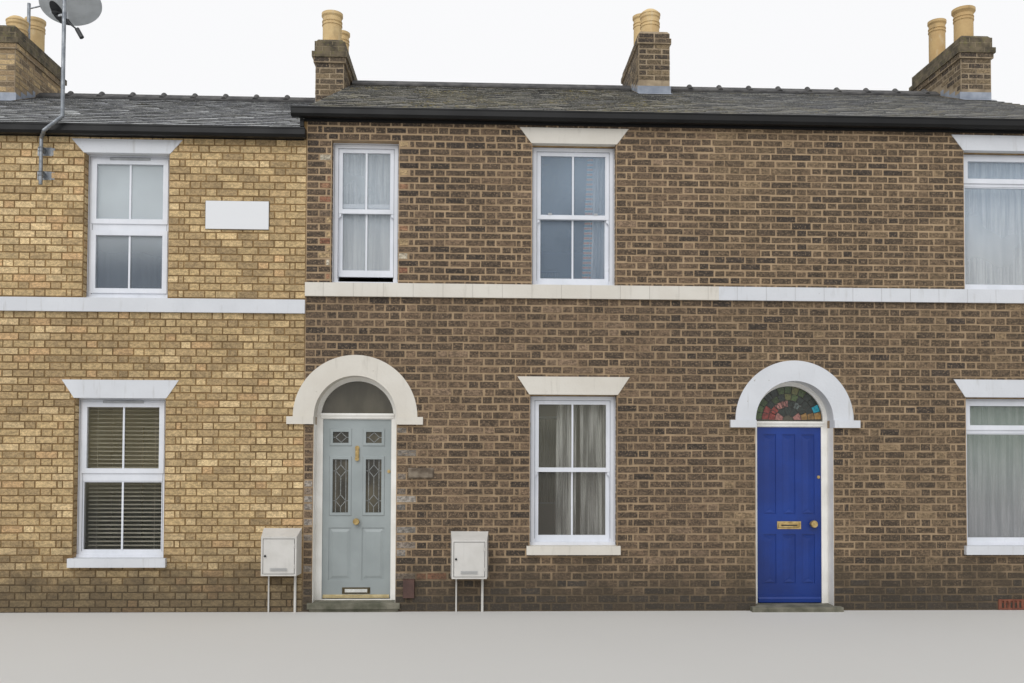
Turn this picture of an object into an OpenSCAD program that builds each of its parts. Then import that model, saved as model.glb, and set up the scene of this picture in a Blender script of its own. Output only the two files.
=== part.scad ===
// Row of three two-storey brick houses, street side towards -Y, ground level at z = 0.

/* [Row] */
// Width of the buff house at the left end, with both side walls
left_house_w = 5075; // [4700:5:5900]
// Width of the middle house, from one brickwork joint to the next
middle_house_w = 4500; // [4300:5:5400]
// Width of the house at the right end
right_house_w = 4835; // [4650:5:5600]
// Depth of the houses from the street face to the rear face
house_d = 7480; // [6200:10:9000]
// Thickness of every brick wall
wall_t = 225; // [190:5:280]

/* [Floors] */
// Top of the left and middle houses' ground floors and front steps
floor_z = 97; // [60:1:120]
// Top of the right house's ground floor and front step
right_floor_z = 50; // [35:1:70]
// Top of the upper floor
upper_floor_z = 2900; // [2880:10:3000]
// Thickness of the upper floor with its joists
upper_floor_t = 200; // [120:10:240]

/* [Roof] */
// Ridge of the slates on the brown houses
brown_ridge_z = 7205; // [7000:5:7210]
// Lower edge of the slates on the brown houses
brown_eaves_z = 5445; // [5430:5:5500]
// Ridge of the slates on the buff house
buff_ridge_z = 6930; // [6500:10:7100]
// Lower edge of the slates on the buff house
buff_eaves_z = 5215; // [5205:5:5260]
// Depth of rafters, boards and slates measured straight down
roof_t = 130; // [100:5:160]
// Overhang of the slates beyond the wall face
eaves_over = 60; // [45:5:80]
// Thickness of the slates where they overhang
slate_edge_t = 15; // [10:1:25]
// Overhang of the brown slates over the buff roof
verge_over = 30; // [20:5:40]
// Length of one ridge tile
ridge_tile_l = 454; // [300:1:500]
// Half width of a ridge tile
ridge_half_w = 125; // [90:5:160]
// Rise of a ridge tile's apex above the slates
ridge_rise = 58; // [40:1:80]
// Radius of the roll at the end of a ridge tile
ridge_roll_r = 42; // [30:1:50]

/* [Eaves] */
// Reach of the brown fascia boards below the wall's top
fascia_lap = 34; // [10:1:50]
// Reach of the buff fascia boards below the wall's top
buff_fascia_lap = 15; // [8:1:30]
// Thickness of the fascia boards
fascia_t = 22; // [18:1:30]
// Width of the gutter trough
gutter_w = 115; // [90:1:140]
// Height of the gutter trough
gutter_h = 100; // [75:1:105]
// Thickness of the gutter wall
gutter_t = 4; // [3:0.5:6]
// Run of the middle gutter past the brown brickwork
gutter_past = 123; // [0:1:200]

/* [String courses] */
// Underside of the string course on the brown houses
brown_string_z = 3400; // [3380:5:3450]
// Underside of the string course on the buff house
buff_string_z = 3210; // [3180:5:3260]
// Height of a string course
string_h = 148; // [120:1:170]
// Reach of string courses
string_out = 38; // [25:1:60]

/* [Windows] */
// Top of the ground floor sills on the buff house
buff_sill_z = 577; // [500:1:700]
// Underside of the ground floor lintels on the buff house
buff_head_z = 2285; // [2150:1:2300]
// Underside of the upper lintels on the buff house
buff_upper_head_z = 4930; // [4700:1:4950]
// Top of the ground floor sills on the brown houses
brown_sill_z = 708; // [600:1:800]
// Underside of the ground floor lintels on the brown houses
brown_head_z = 2352; // [2200:1:2400]
// Underside of the upper lintels on the brown houses
brown_upper_head_z = 5112; // [4900:1:5130]
// Middle of the buff ground floor window from the house's left
buff_window_at = 3120; // [2900:1:3300]
// Width of the buff ground floor window
buff_window_w = 954; // [800:1:1000]
// Middle of the buff upper window from the house's left
buff_upper_window_at = 3153; // [2900:1:3300]
// Width of the buff upper window
buff_upper_window_w = 898; // [750:1:1000]
// Middle of the middle house's main windows from the house's left
middle_window_at = 2915; // [2800:1:3100]
// Width of the middle house's ground floor window
middle_window_w = 950; // [800:1:1000]
// Width of the middle house's main upper window
middle_upper_window_w = 923; // [780:1:1000]
// Middle of the narrow upper window from the house's left
narrow_window_at = 633; // [600:1:700]
// Width of the narrow upper window
narrow_window_w = 726; // [600:1:760]
// Middle of the right house's windows from the house's left
right_window_at = 3252; // [3000:1:3500]
// Width of the right house's windows
right_window_w = 940; // [800:1:1000]
// Distance of window frames and back doors behind the wall face
reveal = 100; // [80:1:110]
// Height of the ground floor lintels
lintel_h = 195; // [150:1:215]
// Height of the brown houses' upper lintels
upper_lintel_h = 172; // [120:1:180]
// Height of the buff house's upper lintels
buff_upper_lintel_h = 148; // [120:1:155]
// Reach of a lintel beyond its opening, along the lower edge
lintel_side = 10; // [5:1:40]
// Extra reach of a lintel along the upper edge
lintel_flare = 130; // [60:1:150]
// Reach of lintels
lintel_out = 12; // [5:1:25]
// Height of the ground floor sills
sill_h = 95; // [70:1:130]
// Reach of a sill beyond its opening
sill_side = 35; // [20:1:60]
// Reach of a sill
sill_out = 55; // [35:1:80]
// Face width of a window frame member
frame_face = 52; // [35:1:60]
// Face width of the boxes beside sliding sashes
box_face = 62; // [45:1:70]
// Face width of a sash member
sash_face = 41; // [30:1:55]
// Height of the meeting rails of sliding sashes
meeting_rail_h = 48; // [35:1:60]
// Height of the lowest rail of a sliding sash
bottom_rail_h = 72; // [50:1:90]
// Height of the rail between the buff house's lights
buff_rail_h = 96; // [60:1:110]
// Height of the rail between the right house's lights
right_rail_h = 46; // [35:1:90]
// Face width of the bead round a fixed pane
bead_face = 14; // [10:1:25]
// Middle of the buff ground floor rail above its sill
buff_rail = 865; // [700:1:1000]
// Middle of the buff upper rail above its sill
buff_upper_rail = 790; // [650:1:900]
// Middle of the middle ground floor rail above its sill
middle_rail = 822; // [700:1:900]
// Middle of the main middle upper rail above its sill
middle_upper_rail = 780; // [650:1:850]
// Middle of the narrow window's rail above its sill
narrow_rail = 813; // [650:1:850]
// Opening under the narrow window's lower sash
narrow_open = 66; // [0:1:200]
// Middle of the right ground floor rail above its sill
right_rail = 1270; // [900:1:1350]
// Middle of the right upper rail above its sill
right_upper_rail = 1210; // [850:1:1280]
// Height of the window sill bar at the foot of a frame
sill_bar_h = 30; // [20:1:50]
// Drop of the curved horns under the upper sash
horn_h = 55; // [35:1:80]
// Depth of a window frame
window_frame_d = 90; // [80:1:105]
// Thickness of the glass
glass_t = 6; // [4:1:12]

/* [Doors] */
// Middle of the left house's front door from the house's left
left_door_at = 1045; // [1000:1:1150]
// Middle of the middle house's front door from the house's left
grey_door_at = 548; // [546:1:560]
// Middle of the right house's front door from the house's left
blue_door_at = 855; // [800:1:1000]
// Width of the left and grey doorways
grey_opening_w = 888; // [740:1:900]
// Width of the blue doorway
blue_opening_w = 866; // [820:1:900]
// Springing of the left and grey arches
grey_spring_z = 2098; // [2040:1:2200]
// Springing of the blue door's arch
blue_spring_z = 2085; // [2030:1:2200]
// Underside of the left and grey transoms
grey_head_z = 2077; // [1950:1:2090]
// Underside of the blue door's transom
blue_head_z = 2013; // [1900:1:2040]
// Width of the arch stones
arch_band = 225; // [150:1:240]
// Reach of the arch stones
arch_out = 15; // [8:1:30]
// Height of the blocks that carry the arches
impost_h = 82; // [60:1:120]
// Reach of an impost block beyond the arch stones
impost_side = 62; // [40:1:90]
// Reach of the impost blocks
impost_out = 45; // [30:1:60]
// Distance of the front door frames behind the wall face
door_reveal = 172; // [150:1:180]
// Face width of the door frames
door_frame_face = 70; // [60:1:80]
// Depth of the door frames behind the face of their stops
door_frame_d = 78; // [76:1:90]
// Height of the transom over a door
transom_h = 64; // [50:1:80]
// Face width of the frame round the light over a door
light_face = 46; // [35:1:60]
// Distance of the door leaves behind the face of the frame
leaf_set = 18; // [16:1:22]
// Thickness of the door leaves
leaf_t = 44; // [38:1:46]
// Height of the brass threshold under the grey door
threshold_h = 12; // [8:1:20]
// Middle of the grey door's panels from its own middle
grey_panel_at = 181; // [150:1:190]
// Width of the grey door's panels
grey_panel_w = 246; // [200:1:260]
// Underside of the grey door's lower panels
grey_panel_z = 313; // [260:1:340]
// Height of the grey door's lower panels
grey_panel_h = 572; // [450:1:600]
// Underside of the grey door's tall lights
tall_light_z = 1014; // [980:1:1040]
// Height of the tall lights with their mouldings
tall_light_h = 659; // [500:1:700]
// Underside of the grey door's small lights
small_light_z = 1779; // [1740:1:1790]
// Height of those lights with their mouldings
small_light_h = 196; // [150:1:210]
// Face width of the mouldings round the lights
light_edge = 37; // [25:1:45]
// Middle of the blue door's outer panels from its own middle
blue_panel_at = 218; // [200:1:225]
// Width of the blue door's panels
blue_panel_w = 144; // [120:1:160]
// Underside of the blue door's upper panels
blue_panel_z = 1039; // [1010:1:1080]
// Height of the blue door's upper panels
blue_panel_h = 892; // [750:1:900]
// Underside of the blue door's lower panels
blue_low_panel_z = 268; // [220:1:300]
// Height of the blue door's lower panels
blue_low_panel_h = 547; // [400:1:560]
// Height of the weather bar at the foot of the grey door
weather_bar_h = 36; // [25:1:50]
// Height of the weather board at the foot of the blue door
weather_board_h = 72; // [50:1:90]
// Thickness of the stone step slabs
step_t = 64; // [40:1:80]
// Reach of the stone step slabs
step_out = 38; // [30:1:80]
// Reach of the right house's step
blue_step_out = 100; // [60:1:200]
// Reach of the left and grey steps beyond the opening
step_side = 50; // [0:1:80]
// Reach of the blue door's step beyond the opening
blue_step_side = 67; // [0:1:90]

/* [Chimneys] */
// Width of the stacks
stack_w = 450; // [400:5:480]
// Width of the stack beside the buff and brown joint
second_stack_w = 400; // [340:5:440]
// Depth of the stacks, front to back
stack_d = 1460; // [1200:10:1600]
// Top of the first stack from the left
first_stack_z = 7630; // [7300:5:8000]
// Top of the second stack
second_stack_z = 7520; // [7300:5:8000]
// Top of the third stack
third_stack_z = 7735; // [7450:5:8100]
// Top of the fourth stack
fourth_stack_z = 7775; // [7450:5:8100]
// Height of the rendered band at a stack's head
stack_head_h = 155; // [100:1:180]
// Reach of the rendered band
stack_head_out = 14; // [5:1:25]
// Height of one projecting course of a stack
stack_course_h = 77; // [60:1:80]
// Reach of the widest course of a stack
stack_course_out = 48; // [30:1:60]
// Reach of the course under the widest one
stack_neck_out = 26; // [15:1:35]
// Reach of the single course on the third stack
third_course_out = 20; // [12:1:35]
// Height of the mortar bed round the feet of the pots
flaunching_h = 40; // [20:1:60]
// Radius of a pot at its foot
pot_r = 135; // [110:1:150]
// Wall thickness of a pot
pot_t = 22; // [15:1:30]
// Thickness of the lead flashings
lead_t = 3; // [2:0.5:5]
// Upstand of the lead flashings against a stack
lead_up = 105; // [80:1:200]
// Reach of the lead aprons over the slates
lead_out = 130; // [80:1:200]

/* [Meter boxes] */
// Width of a meter box
meter_w = 370; // [350:1:420]
// Height of a meter box at its front
meter_h = 410; // [370:1:460]
// Rise of the sloping hood towards the wall
meter_hood_h = 78; // [50:1:100]
// Depth of a meter box
meter_d = 200; // [150:1:240]
// Flare of each side of a meter box towards the wall
meter_flare = 18; // [5:1:30]
// Wall thickness of a meter box
meter_t = 12; // [8:1:16]
// Middle of the left meter box from the joint of buff and brown brick
left_meter_at = -215; // [-260:1:-200]
// Middle of the right meter box from the same joint
right_meter_at = 1789; // [1700:1:1850]
// Underside of the left meter box
left_meter_z = 412; // [380:1:500]
// Underside of the right meter box
right_meter_z = 378; // [350:1:450]
// Radius of the pipes below the meter boxes
meter_pipe_r = 14; // [10:1:20]

/* [Wall pieces] */
// Width of the blank plaque
plaque_w = 690; // [500:1:800]
// Height of the blank plaque
plaque_h = 320; // [200:1:400]
// Middle of the plaque from the left house's left
plaque_at = 4338; // [4200:1:4450]
// Underside of the plaque
plaque_z = 4110; // [3950:1:4200]
// Reach of the plaque
plaque_t = 20; // [10:1:40]
// Middle of the rough stone from the middle of the grey door
block_at = 712; // [690:1:760]
// Underside of the rough stone
block_z = 1430; // [1200:1:1600]
// Reach of the rough stone
block_out = 25; // [10:1:40]
// Width of the rough stone beside the grey door
block_w = 282; // [200:1:300]
// Height of the rough stone
block_h = 120; // [80:1:150]
// Middle of the cable box from the middle of the grey door
cable_box_at = 589; // [580:1:700]
// Underside of the cable box
cable_box_z = 147; // [100:1:200]
// Depth of the cable box
cable_box_d = 45; // [30:1:60]
// Width of the cable box beside the grey door
cable_box_w = 127; // [100:1:140]
// Height of the cable box
cable_box_h = 205; // [160:1:280]
// Middle of the air brick from the right house's left
air_brick_at = 3272; // [2900:1:3600]
// Width of the terracotta air brick
air_brick_w = 295; // [215:1:310]
// Height of the terracotta air brick
air_brick_h = 115; // [70:1:140]

/* [Aerials] */
// Radius of the aerial mast
mast_r = 20; // [15:1:25]
// Foot of the mast
mast_foot_z = 4550; // [4300:10:4600]
// Lower end of the bend that takes the mast round the gutter
mast_bend_z = 5050; // [4980:5:5060]
// Upper end of the bend
mast_bend_top_z = 5250; // [5200:5:5400]
// Sideways lean of the mast over its bend
mast_lean = 268; // [100:1:320]
// Top of the mast
mast_top_z = 6820; // [6600:10:7000]
// Distance of the mast's lower run from the wall
mast_out = 90; // [80:1:120]
// Distance of the mast's upper run from the wall
mast_upper_out = 205; // [195:5:300]
// Distance of the mast from the left house's left
mast_at = 2282; // [2150:1:2400]
// Height of the dish's middle
dish_z = 6605; // [6450:5:6700]
// Distance of the dish's middle behind the mast
dish_back = 335; // [325:1:400]
// Distance of the dish's middle to the left of the mast
dish_left = 80; // [40:1:120]
// Radius of the dish
dish_r = 315; // [250:5:320]
// Depth of the dish's bowl
dish_bowl = 55; // [30:1:90]
// Lean of the dish's axis from upright
dish_lean = 22; // [10:1:40]
// Turn of the dish's axis to the left
dish_turn = 38; // [0:1:50]
// Radius of the pole on the first stack
pole_r = 24; // [10:1:30]
// Height of the pole above the first stack
pole_h = 640; // [400:10:900]

/* [Hidden] */
// Small fits, laps and reaches, in mm
ridge_edge = 26;
stone_in = 100;
meter_rim = 18;
panel_sink = 9;
roof_seat = 0.3;
seat_gap = 0.3;
gutter_slant = 26;
gutter_lip = 16;
gutter_lip_out = 6;
end_board_w = 40;
end_board_d = 45;
ridge_roll_in = 12;
leaf_gap = 8;
leaf_lap = 6;
stop_gap = 5.5;
panel_edge = 16;
lock_in = 26;
lock_r = 18;
weather_gap = 12;
weather_out = 20;
step_round = 14;
step_back = 20;
lead_side = 18;
light_rise = 9;
hinge_h = 90;
knuckle_r = 8;
sill_bar_out = 20;

buff = "#b99a63";
brown = "#6d4f3c";
slate = "#4b4f55";
moss_slate = "#5d5a48";
stone = "#d9d3c2";
white = "#e8e8e6";
black = "#1d1f21";
clay = "#c9a262";
steel = "#9ba1a6";
gold = "#b08d3c";

front_y = -house_d / 2;
row_w = left_house_w + middle_house_w + right_house_w;
x0 = -row_w / 2;
x1 = x0 + left_house_w;
x2 = x1 + middle_house_w;
x3 = x2 + right_house_w;
big = 20000;
joint_depth = house_d / 2 - wall_t;
brown_roof_x = x1 - verge_over;

// Each stack as its left side, its width and its top
second_stack_in = 50;
third_stack_in = 340;
stack_side = [x0, x1 - second_stack_in - second_stack_w, x2 - third_stack_in, x3 - stack_w];
stack_width = [stack_w, second_stack_w, stack_w, stack_w];
stack_tops = [first_stack_z, second_stack_z, third_stack_z, fourth_stack_z];

// Each window as middle, width, bottom, top and the height of its lintel
buff_high_z = buff_string_z + string_h;
brown_high_z = brown_string_z + string_h;
buff_low = [x0 + buff_window_at, buff_window_w, buff_sill_z, buff_head_z, lintel_h];
buff_high = [x0 + buff_upper_window_at, buff_upper_window_w, buff_high_z, buff_upper_head_z,
    buff_upper_lintel_h];
middle_low = [x1 + middle_window_at, middle_window_w, brown_sill_z, brown_head_z, lintel_h];
middle_high = [x1 + middle_window_at, middle_upper_window_w, brown_high_z, brown_upper_head_z, upper_lintel_h];
narrow_high = [x1 + narrow_window_at, narrow_window_w, brown_high_z, brown_upper_head_z];
right_low = [x2 + right_window_at, right_window_w, brown_sill_z, brown_head_z, lintel_h];
right_high = [x2 + right_window_at, right_window_w, brown_high_z, brown_upper_head_z, upper_lintel_h];
lintelled = [buff_low, buff_high, middle_low, middle_high, right_low, right_high];

// Each front door as middle, width, springing, underside of transom, top of step and height of threshold
left_way = [x0 + left_door_at, grey_opening_w, grey_spring_z, grey_head_z, floor_z, threshold_h];
grey_way = [x1 + grey_door_at, grey_opening_w, grey_spring_z, grey_head_z, floor_z, threshold_h];
blue_way = [x2 + blue_door_at, blue_opening_w, blue_spring_z, blue_head_z, right_floor_z, 0];
ways = [left_way, grey_way, blue_way];
bay_side = 320;
grey_bay_end = grey_way[0] + grey_way[1] / 2 + bay_side;
blue_bay_end = blue_way[0] + blue_way[1] / 2 + bay_side;
rear_door_head = 2100;
rear_door_shift = 160;

function slope(ridge, eaves) = (ridge - eaves) / (house_d / 2 + eaves_over);
function buff_top(y) = buff_ridge_z - slope(buff_ridge_z, buff_eaves_z) * abs(y);
function brown_top(y) = brown_ridge_z - slope(brown_ridge_z, brown_eaves_z) * abs(y);
function roof_top(is_buff, y) = is_buff ? buff_top(y) : brown_top(y);
function under_roof(is_buff, y) = roof_top(is_buff, y) - roof_t - roof_seat;
function stack_foot(i) = under_roof(i < 2, stack_d / 2);
function outer_r(way) = way[1] / 2 + arch_band;

// Draws its outline, in depth and height, along the row
module along_row(from, to) translate([from, 0, 0]) rotate([90, 0, 90]) linear_extrude(to - from) children();

// Draws its outline, in width and height, through the wall
module through(from, to) translate([0, to, 0]) rotate([90, 0, 0]) linear_extrude(to - from) children();

// Raised field, w by h, whose four sides slope towards the street
module field(w, h, bevel, rise) {
    intersection() {
        linear_extrude(h) polygon([[0, 0], [w, 0], [w - bevel, -rise], [bevel, -rise]]);
        along_row(0, w) polygon([[0, 0], [0, h], [-rise, h - bevel], [-rise, bevel]]);
    }
}

// Round bar from one point to another
module bar(from, to, r) {
    run = to - from;
    translate(from) rotate([0, acos(run[2] / norm(run)), atan2(run[1], run[0])])
        cylinder(norm(run), r, r, $fn = 32);
}

module wall_outline(is_buff, side) {
    outer = side * house_d / 2;
    inner = side * joint_depth;
    polygon([[outer, 0], [inner, 0], [inner, under_roof(is_buff, inner)], [outer, under_roof(is_buff, outer)]]);
}

// Buff wall, which rises to the brown roof where that overhangs
module buff_wall(side) {
    along_row(x0, brown_roof_x) wall_outline(true, side);
    along_row(brown_roof_x, x1) wall_outline(false, side);
}

module window_hole(win, side) {
    translate([win[0] - win[1] / 2, side < 0 ? front_y - 1 : joint_depth - 1, win[2]])
        cube([win[1], wall_t + 2, win[3] - win[2]]);
}

module lintel_outline(win) {
    low = win[1] / 2 + lintel_side;
    high = low + lintel_flare;
    translate([win[0], win[3]])
        polygon([[-low, 0], [low, 0], [high, win[4]], [-high, win[4]]]);
}

module sill_outline(win) {
    translate([win[0] - win[1] / 2 - sill_side, win[2] - sill_h]) square([win[1] + 2 * sill_side, sill_h]);
}

// Disc of radius r about the middle of an arch, above the height low
module arch_outline(way, r, low) {
    difference() {
        translate([way[0], way[2]]) circle(r, $fn = 96);
        translate([way[0] - big / 2, low - big]) square([big, big]);
    }
}

module way_outline(way, floor) {
    arch_outline(way, way[1] / 2, way[2]);
    translate([way[0] - way[1] / 2, floor]) square([way[1], way[2] - floor]);
}

module impost_outline(way, side) {
    inner = way[1] / 2;
    reach = arch_band + impost_side;
    translate([way[0] + (side < 0 ? -inner - reach : inner), way[2] - impost_h]) square([reach, impost_h]);
}

// Front arch, with its impost blocks, as it is cut from the wall
module arch_cut(way) {
    through(front_y - 1, front_y + wall_t + 1) {
        arch_outline(way, outer_r(way) + seat_gap, way[2]);
        translate([way[0] - way[1] / 2, 0]) square([way[1], way[2] + 1]);
    }
    through(front_y - 1, front_y + stone_in) for (side = [-1, 1]) impost_outline(way, side);
}

module string_cut(z) {
    translate([x0 - 1, front_y - 1, z]) cube([row_w + 2, stone_in + 1, string_h]);
}

module window_cuts(win) {
    window_hole(win, -1);
    through(front_y - 1, front_y + stone_in) lintel_outline(win);
}

module sill_cut(win) {
    through(front_y - 1, front_y + stone_in) sill_outline(win);
}

module rear_cuts(win) {
    window_hole(win, 1);
    through(house_d / 2 - stone_in, house_d / 2 + 1) {
        lintel_outline(win);
        sill_outline(win);
    }
}

// Back door behind a front door, as middle, width, bottom, top and height of its lintel
function back_way(way) = [way[0] + rear_door_shift, way[1], way[4], rear_door_head, lintel_h];

module rear_door_cut(way) {
    back = back_way(way);
    window_hole(back, 1);
    through(house_d / 2 - stone_in, house_d / 2 + 1) lintel_outline(back);
}

module left_front_wall() {
    color(buff) difference() {
        buff_wall(-1);
        string_cut(buff_string_z);
        window_cuts(buff_low);
        window_cuts(buff_high);
        sill_cut(buff_low);
        arch_cut(left_way);
        arch_cut(grey_way);
    }
}

// Brick beside the two doors that open, up to the springing of their arches
module door_piers() {
    color(brown) {
        pier(x1, grey_way[0] - grey_way[1] / 2, grey_way);
        pier(grey_way[0] + grey_way[1] / 2, grey_bay_end, grey_way);
        pier(x2, blue_way[0] - blue_way[1] / 2, blue_way);
        pier(blue_way[0] + blue_way[1] / 2, blue_bay_end, blue_way);
    }
}

module pier(from, to, way) {
    difference() {
        translate([from, front_y, 0]) cube([to - from, wall_t, way[2]]);
        through(front_y - 1, front_y + stone_in) for (side = [-1, 1]) impost_outline(way, side);
    }
}

module door_bay(from, to, way) {
    difference() {
        along_row(from, to) wall_outline(false, -1);
        translate([from - 1, front_y - 1, -1]) cube([to - from + 2, wall_t + 2, way[2] + 1]);
        string_cut(brown_string_z);
        arch_cut(way);
    }
}

module grey_door_bay() {
    color(brown) difference() {
        door_bay(x1, grey_bay_end, grey_way);
        window_hole(narrow_high, -1);
    }
}

module blue_door_bay() {
    color(brown) door_bay(x2, blue_bay_end, blue_way);
}

module brown_front_wall(from, to, low, high) {
    color(brown) difference() {
        along_row(from, to) wall_outline(false, -1);
        string_cut(brown_string_z);
        window_cuts(low);
        window_cuts(high);
        sill_cut(low);
        arch_cut(grey_way);
        arch_cut(blue_way);
    }
}

module middle_front_wall() brown_front_wall(grey_bay_end, x2, middle_low, middle_high);
module right_front_wall() brown_front_wall(blue_bay_end, x3, right_low, right_high);

module left_rear_wall() {
    color(buff) difference() {
        buff_wall(1);
        rear_cuts(buff_low);
        rear_cuts(buff_high);
        rear_door_cut(left_way);
    }
}

module brown_rear_wall() {
    color(brown) difference() {
        along_row(x1, x3) wall_outline(false, 1);
        for (win = [middle_low, middle_high, right_low, right_high]) rear_cuts(win);
        rear_door_cut(grey_way);
        rear_door_cut(blue_way);
    }
}

// Gable outline under the roof between the front and rear walls
module gable_outline(is_buff) {
    y = joint_depth;
    edge = under_roof(is_buff, y);
    polygon([[-y, 0], [y, 0], [y, edge], [0, under_roof(is_buff, 0)], [-y, edge]]);
}

// Space of every stack, from the level on which it stands
module stack_spaces() {
    for (i = [0:3])
        translate([stack_side[i], -stack_d / 2, stack_foot(i)]) cube([stack_width[i], stack_d, big]);
}

// Masonry inside the houses that carries stack number i
module stack_pier(i) {
    translate([stack_side[i], -stack_d / 2, 0]) cube([stack_width[i], stack_d, stack_foot(i)]);
}

module party_walls() {
    color(brown) difference() {
        union() {
            along_row(x0, x0 + wall_t) gable_outline(true);
            along_row(x1 - wall_t, brown_roof_x) gable_outline(true);
            along_row(brown_roof_x, x1) gable_outline(false);
            along_row(x2 - wall_t, x2) gable_outline(false);
            along_row(x3 - wall_t, x3) gable_outline(false);
        }
        stack_spaces();
    }
    color(brown) for (i = [0:3]) stack_pier(i);
}

// Room between two side walls, less the piers under the stacks
module room_slab(from, to, bottom, top, first) {
    difference() {
        translate([from, -joint_depth, bottom]) cube([to - from, 2 * joint_depth, top - bottom]);
        for (i = [first, first + 1])
            translate([stack_side[i], -stack_d / 2, bottom - 1]) cube([stack_width[i], stack_d, top - bottom + 2]);
    }
}

// Floors of the three houses
module house_slabs(bottom, top, right_top) {
    room_slab(x0 + wall_t, x1 - wall_t, bottom, top, 0);
    room_slab(x1, x2 - wall_t, bottom, top, 1);
    room_slab(x2, x3 - wall_t, bottom, right_top, 2);
}

module ground_floors() color("#8b8478") house_slabs(0, floor_z, right_floor_z);
module upper_floors() color("#9c7f58") house_slabs(upper_floor_z - upper_floor_t, upper_floor_z, upper_floor_z);

// One slope of a roof, from the ridge down to the overhanging slates
module slope_outline(is_buff, side) {
    wall = side * house_d / 2;
    edge = side * (house_d / 2 + eaves_over);
    low = roof_top(is_buff, edge);
    peak = roof_top(is_buff, 0);
    polygon([[0, peak], [edge, low], [edge, low - slate_edge_t], [wall, roof_top(is_buff, wall) - slate_edge_t],
        [wall, roof_top(is_buff, wall) - roof_t], [0, peak - roof_t]]);
}

module roof_slope(is_buff, side) {
    color(is_buff ? slate : moss_slate) difference() {
        along_row(is_buff ? x0 : brown_roof_x, is_buff ? brown_roof_x : x3) slope_outline(is_buff, side);
        stack_spaces();
    }
}

module left_roof_front() roof_slope(true, -1);
module left_roof_rear() roof_slope(true, 1);
module brown_roof_front() roof_slope(false, -1);
module brown_roof_rear() roof_slope(false, 1);

// Fall of the slates over half the width of a ridge tile
function ridge_fall(is_buff) = roof_top(is_buff, 0) - roof_top(is_buff, ridge_half_w);

// Angled tile that follows both slopes
module ridge_outline(is_buff) {
    peak = roof_top(is_buff, 0);
    low = peak - ridge_fall(is_buff);
    polygon([[0, peak + roof_seat], [ridge_half_w, low + roof_seat], [ridge_half_w, low + ridge_edge],
        [0, peak + ridge_rise], [-ridge_half_w, low + ridge_edge], [-ridge_half_w, low + roof_seat]]);
}

// Round roll over the end of a ridge tile
module ridge_roll(x, is_buff) {
    peak = roof_top(is_buff, 0);
    top = peak + ridge_rise - ridge_roll_in;
    reach = ridge_half_w - ridge_roll_in;
    low = peak + roof_seat;
    drop = big * ridge_fall(is_buff) / ridge_half_w;
    intersection() {
        union() {
            translate([x, 0, top]) sphere(ridge_roll_r + 1, $fn = 32);
            for (side = [-1, 1])
                bar([x, 0, top], [x, side * reach, peak - ridge_fall(is_buff) + ridge_edge - ridge_roll_in],
                    ridge_roll_r);
        }
        along_row(x - big, x + big)
            polygon([[0, low], [big, low - drop], [big, big], [-big, big], [-big, low - drop]]);
    }
}

module ridge_run(from, to, is_buff) along_row(from, to) ridge_outline(is_buff);

module ridge_rolls(from, to, is_buff) {
    for (x = [from + ridge_tile_l : ridge_tile_l : to - ridge_roll_r]) ridge_roll(x, is_buff);
}

module ridge_tiles() {
    ends = [for (i = [0:2]) [stack_side[i] + stack_width[i], stack_side[i + 1]]];
    color("#3f4247") {
        ridge_run(ends[0][0], ends[0][1], true);
        ridge_rolls(ends[0][0], ends[0][1], true);
        ridge_run(ends[1][0] + stack_neck_out + 4, ends[1][1], false);
        ridge_run(ends[2][0], ends[2][1], false);
        ridge_rolls(ends[2][0], ends[2][1], false);
    }
}

// Lead apron where a stack's front or rear face meets the slates
module lead_apron(i, side) {
    is_buff = i < 2;
    y = stack_d / 2;
    left = i == 0 ? 0 : lead_side;
    right = i == 3 ? 0 : lead_side;
    function up(d) = roof_top(is_buff, y + d) + roof_seat;
    mirror([0, side < 0 ? 1 : 0, 0]) along_row(stack_side[i] - left, stack_side[i] + stack_width[i] + right)
        polygon([[y, up(0)], [y + lead_out, up(lead_out)], [y + lead_out, up(lead_out) + lead_t],
            [y + lead_t, up(lead_t) + lead_t], [y + lead_t, up(0) + lead_up], [y, up(0) + lead_up]]);
}

// Stepped lead up the side of a stack, one step to each brick course
module lead_steps(x, is_buff) {
    run = stack_course_h * ridge_half_w / ridge_fall(is_buff);
    far = stack_d / 2;
    near = ridge_half_w + lead_side;
    count = floor((far - near) / run);
    function up(y) = roof_top(is_buff, y) + roof_seat;
    for (side = [0, 1]) mirror([0, side, 0]) along_row(x, x + lead_t)
        polygon(concat([[near, up(near)], [far, up(far)]], [for (k = [0:count]) for (end = [0, 1])
            [max(far - (k + end) * run, near), up(far - k * run) + lead_up]]));
}

module lead_flashings() {
    color("#7d8791") {
        for (i = [0, 2, 3]) for (side = [-1, 1]) lead_apron(i, side);
        lead_steps(stack_side[0] + stack_w, true);
        lead_steps(stack_side[1] - lead_t, true);
        lead_steps(stack_side[2] - lead_t, false);
        lead_steps(stack_side[2] + stack_w, false);
        lead_steps(stack_side[3] - lead_t, false);
    }
}

// Courses round a stack's head, each as its underside below the top, its height and its projection
function head_courses(i) = i == 2 ? [[2 * stack_course_h, stack_course_h, third_course_out]] :
    [[stack_head_h, stack_head_h, stack_head_out],
        [stack_head_h + stack_course_h, stack_course_h, stack_course_out],
        [stack_head_h + 2 * stack_course_h, stack_course_h, stack_neck_out]];

// Every pot as its stack, its place from front to back, height, radius and the reach of its lip, 0 if hooded
pots = [[0, -240, 375, pot_r, 0], [0, 297, 570, pot_r * 0.97, 17], [1, -540, 478, pot_r, 17],
    [1, 340, 600, pot_r * 0.85, 17], [2, -410, 495, pot_r, 0], [2, 330, 740, pot_r * 0.85, 17],
    [3, -400, 565, pot_r, 30], [3, 390, 755, pot_r * 0.9, 17]];

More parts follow.
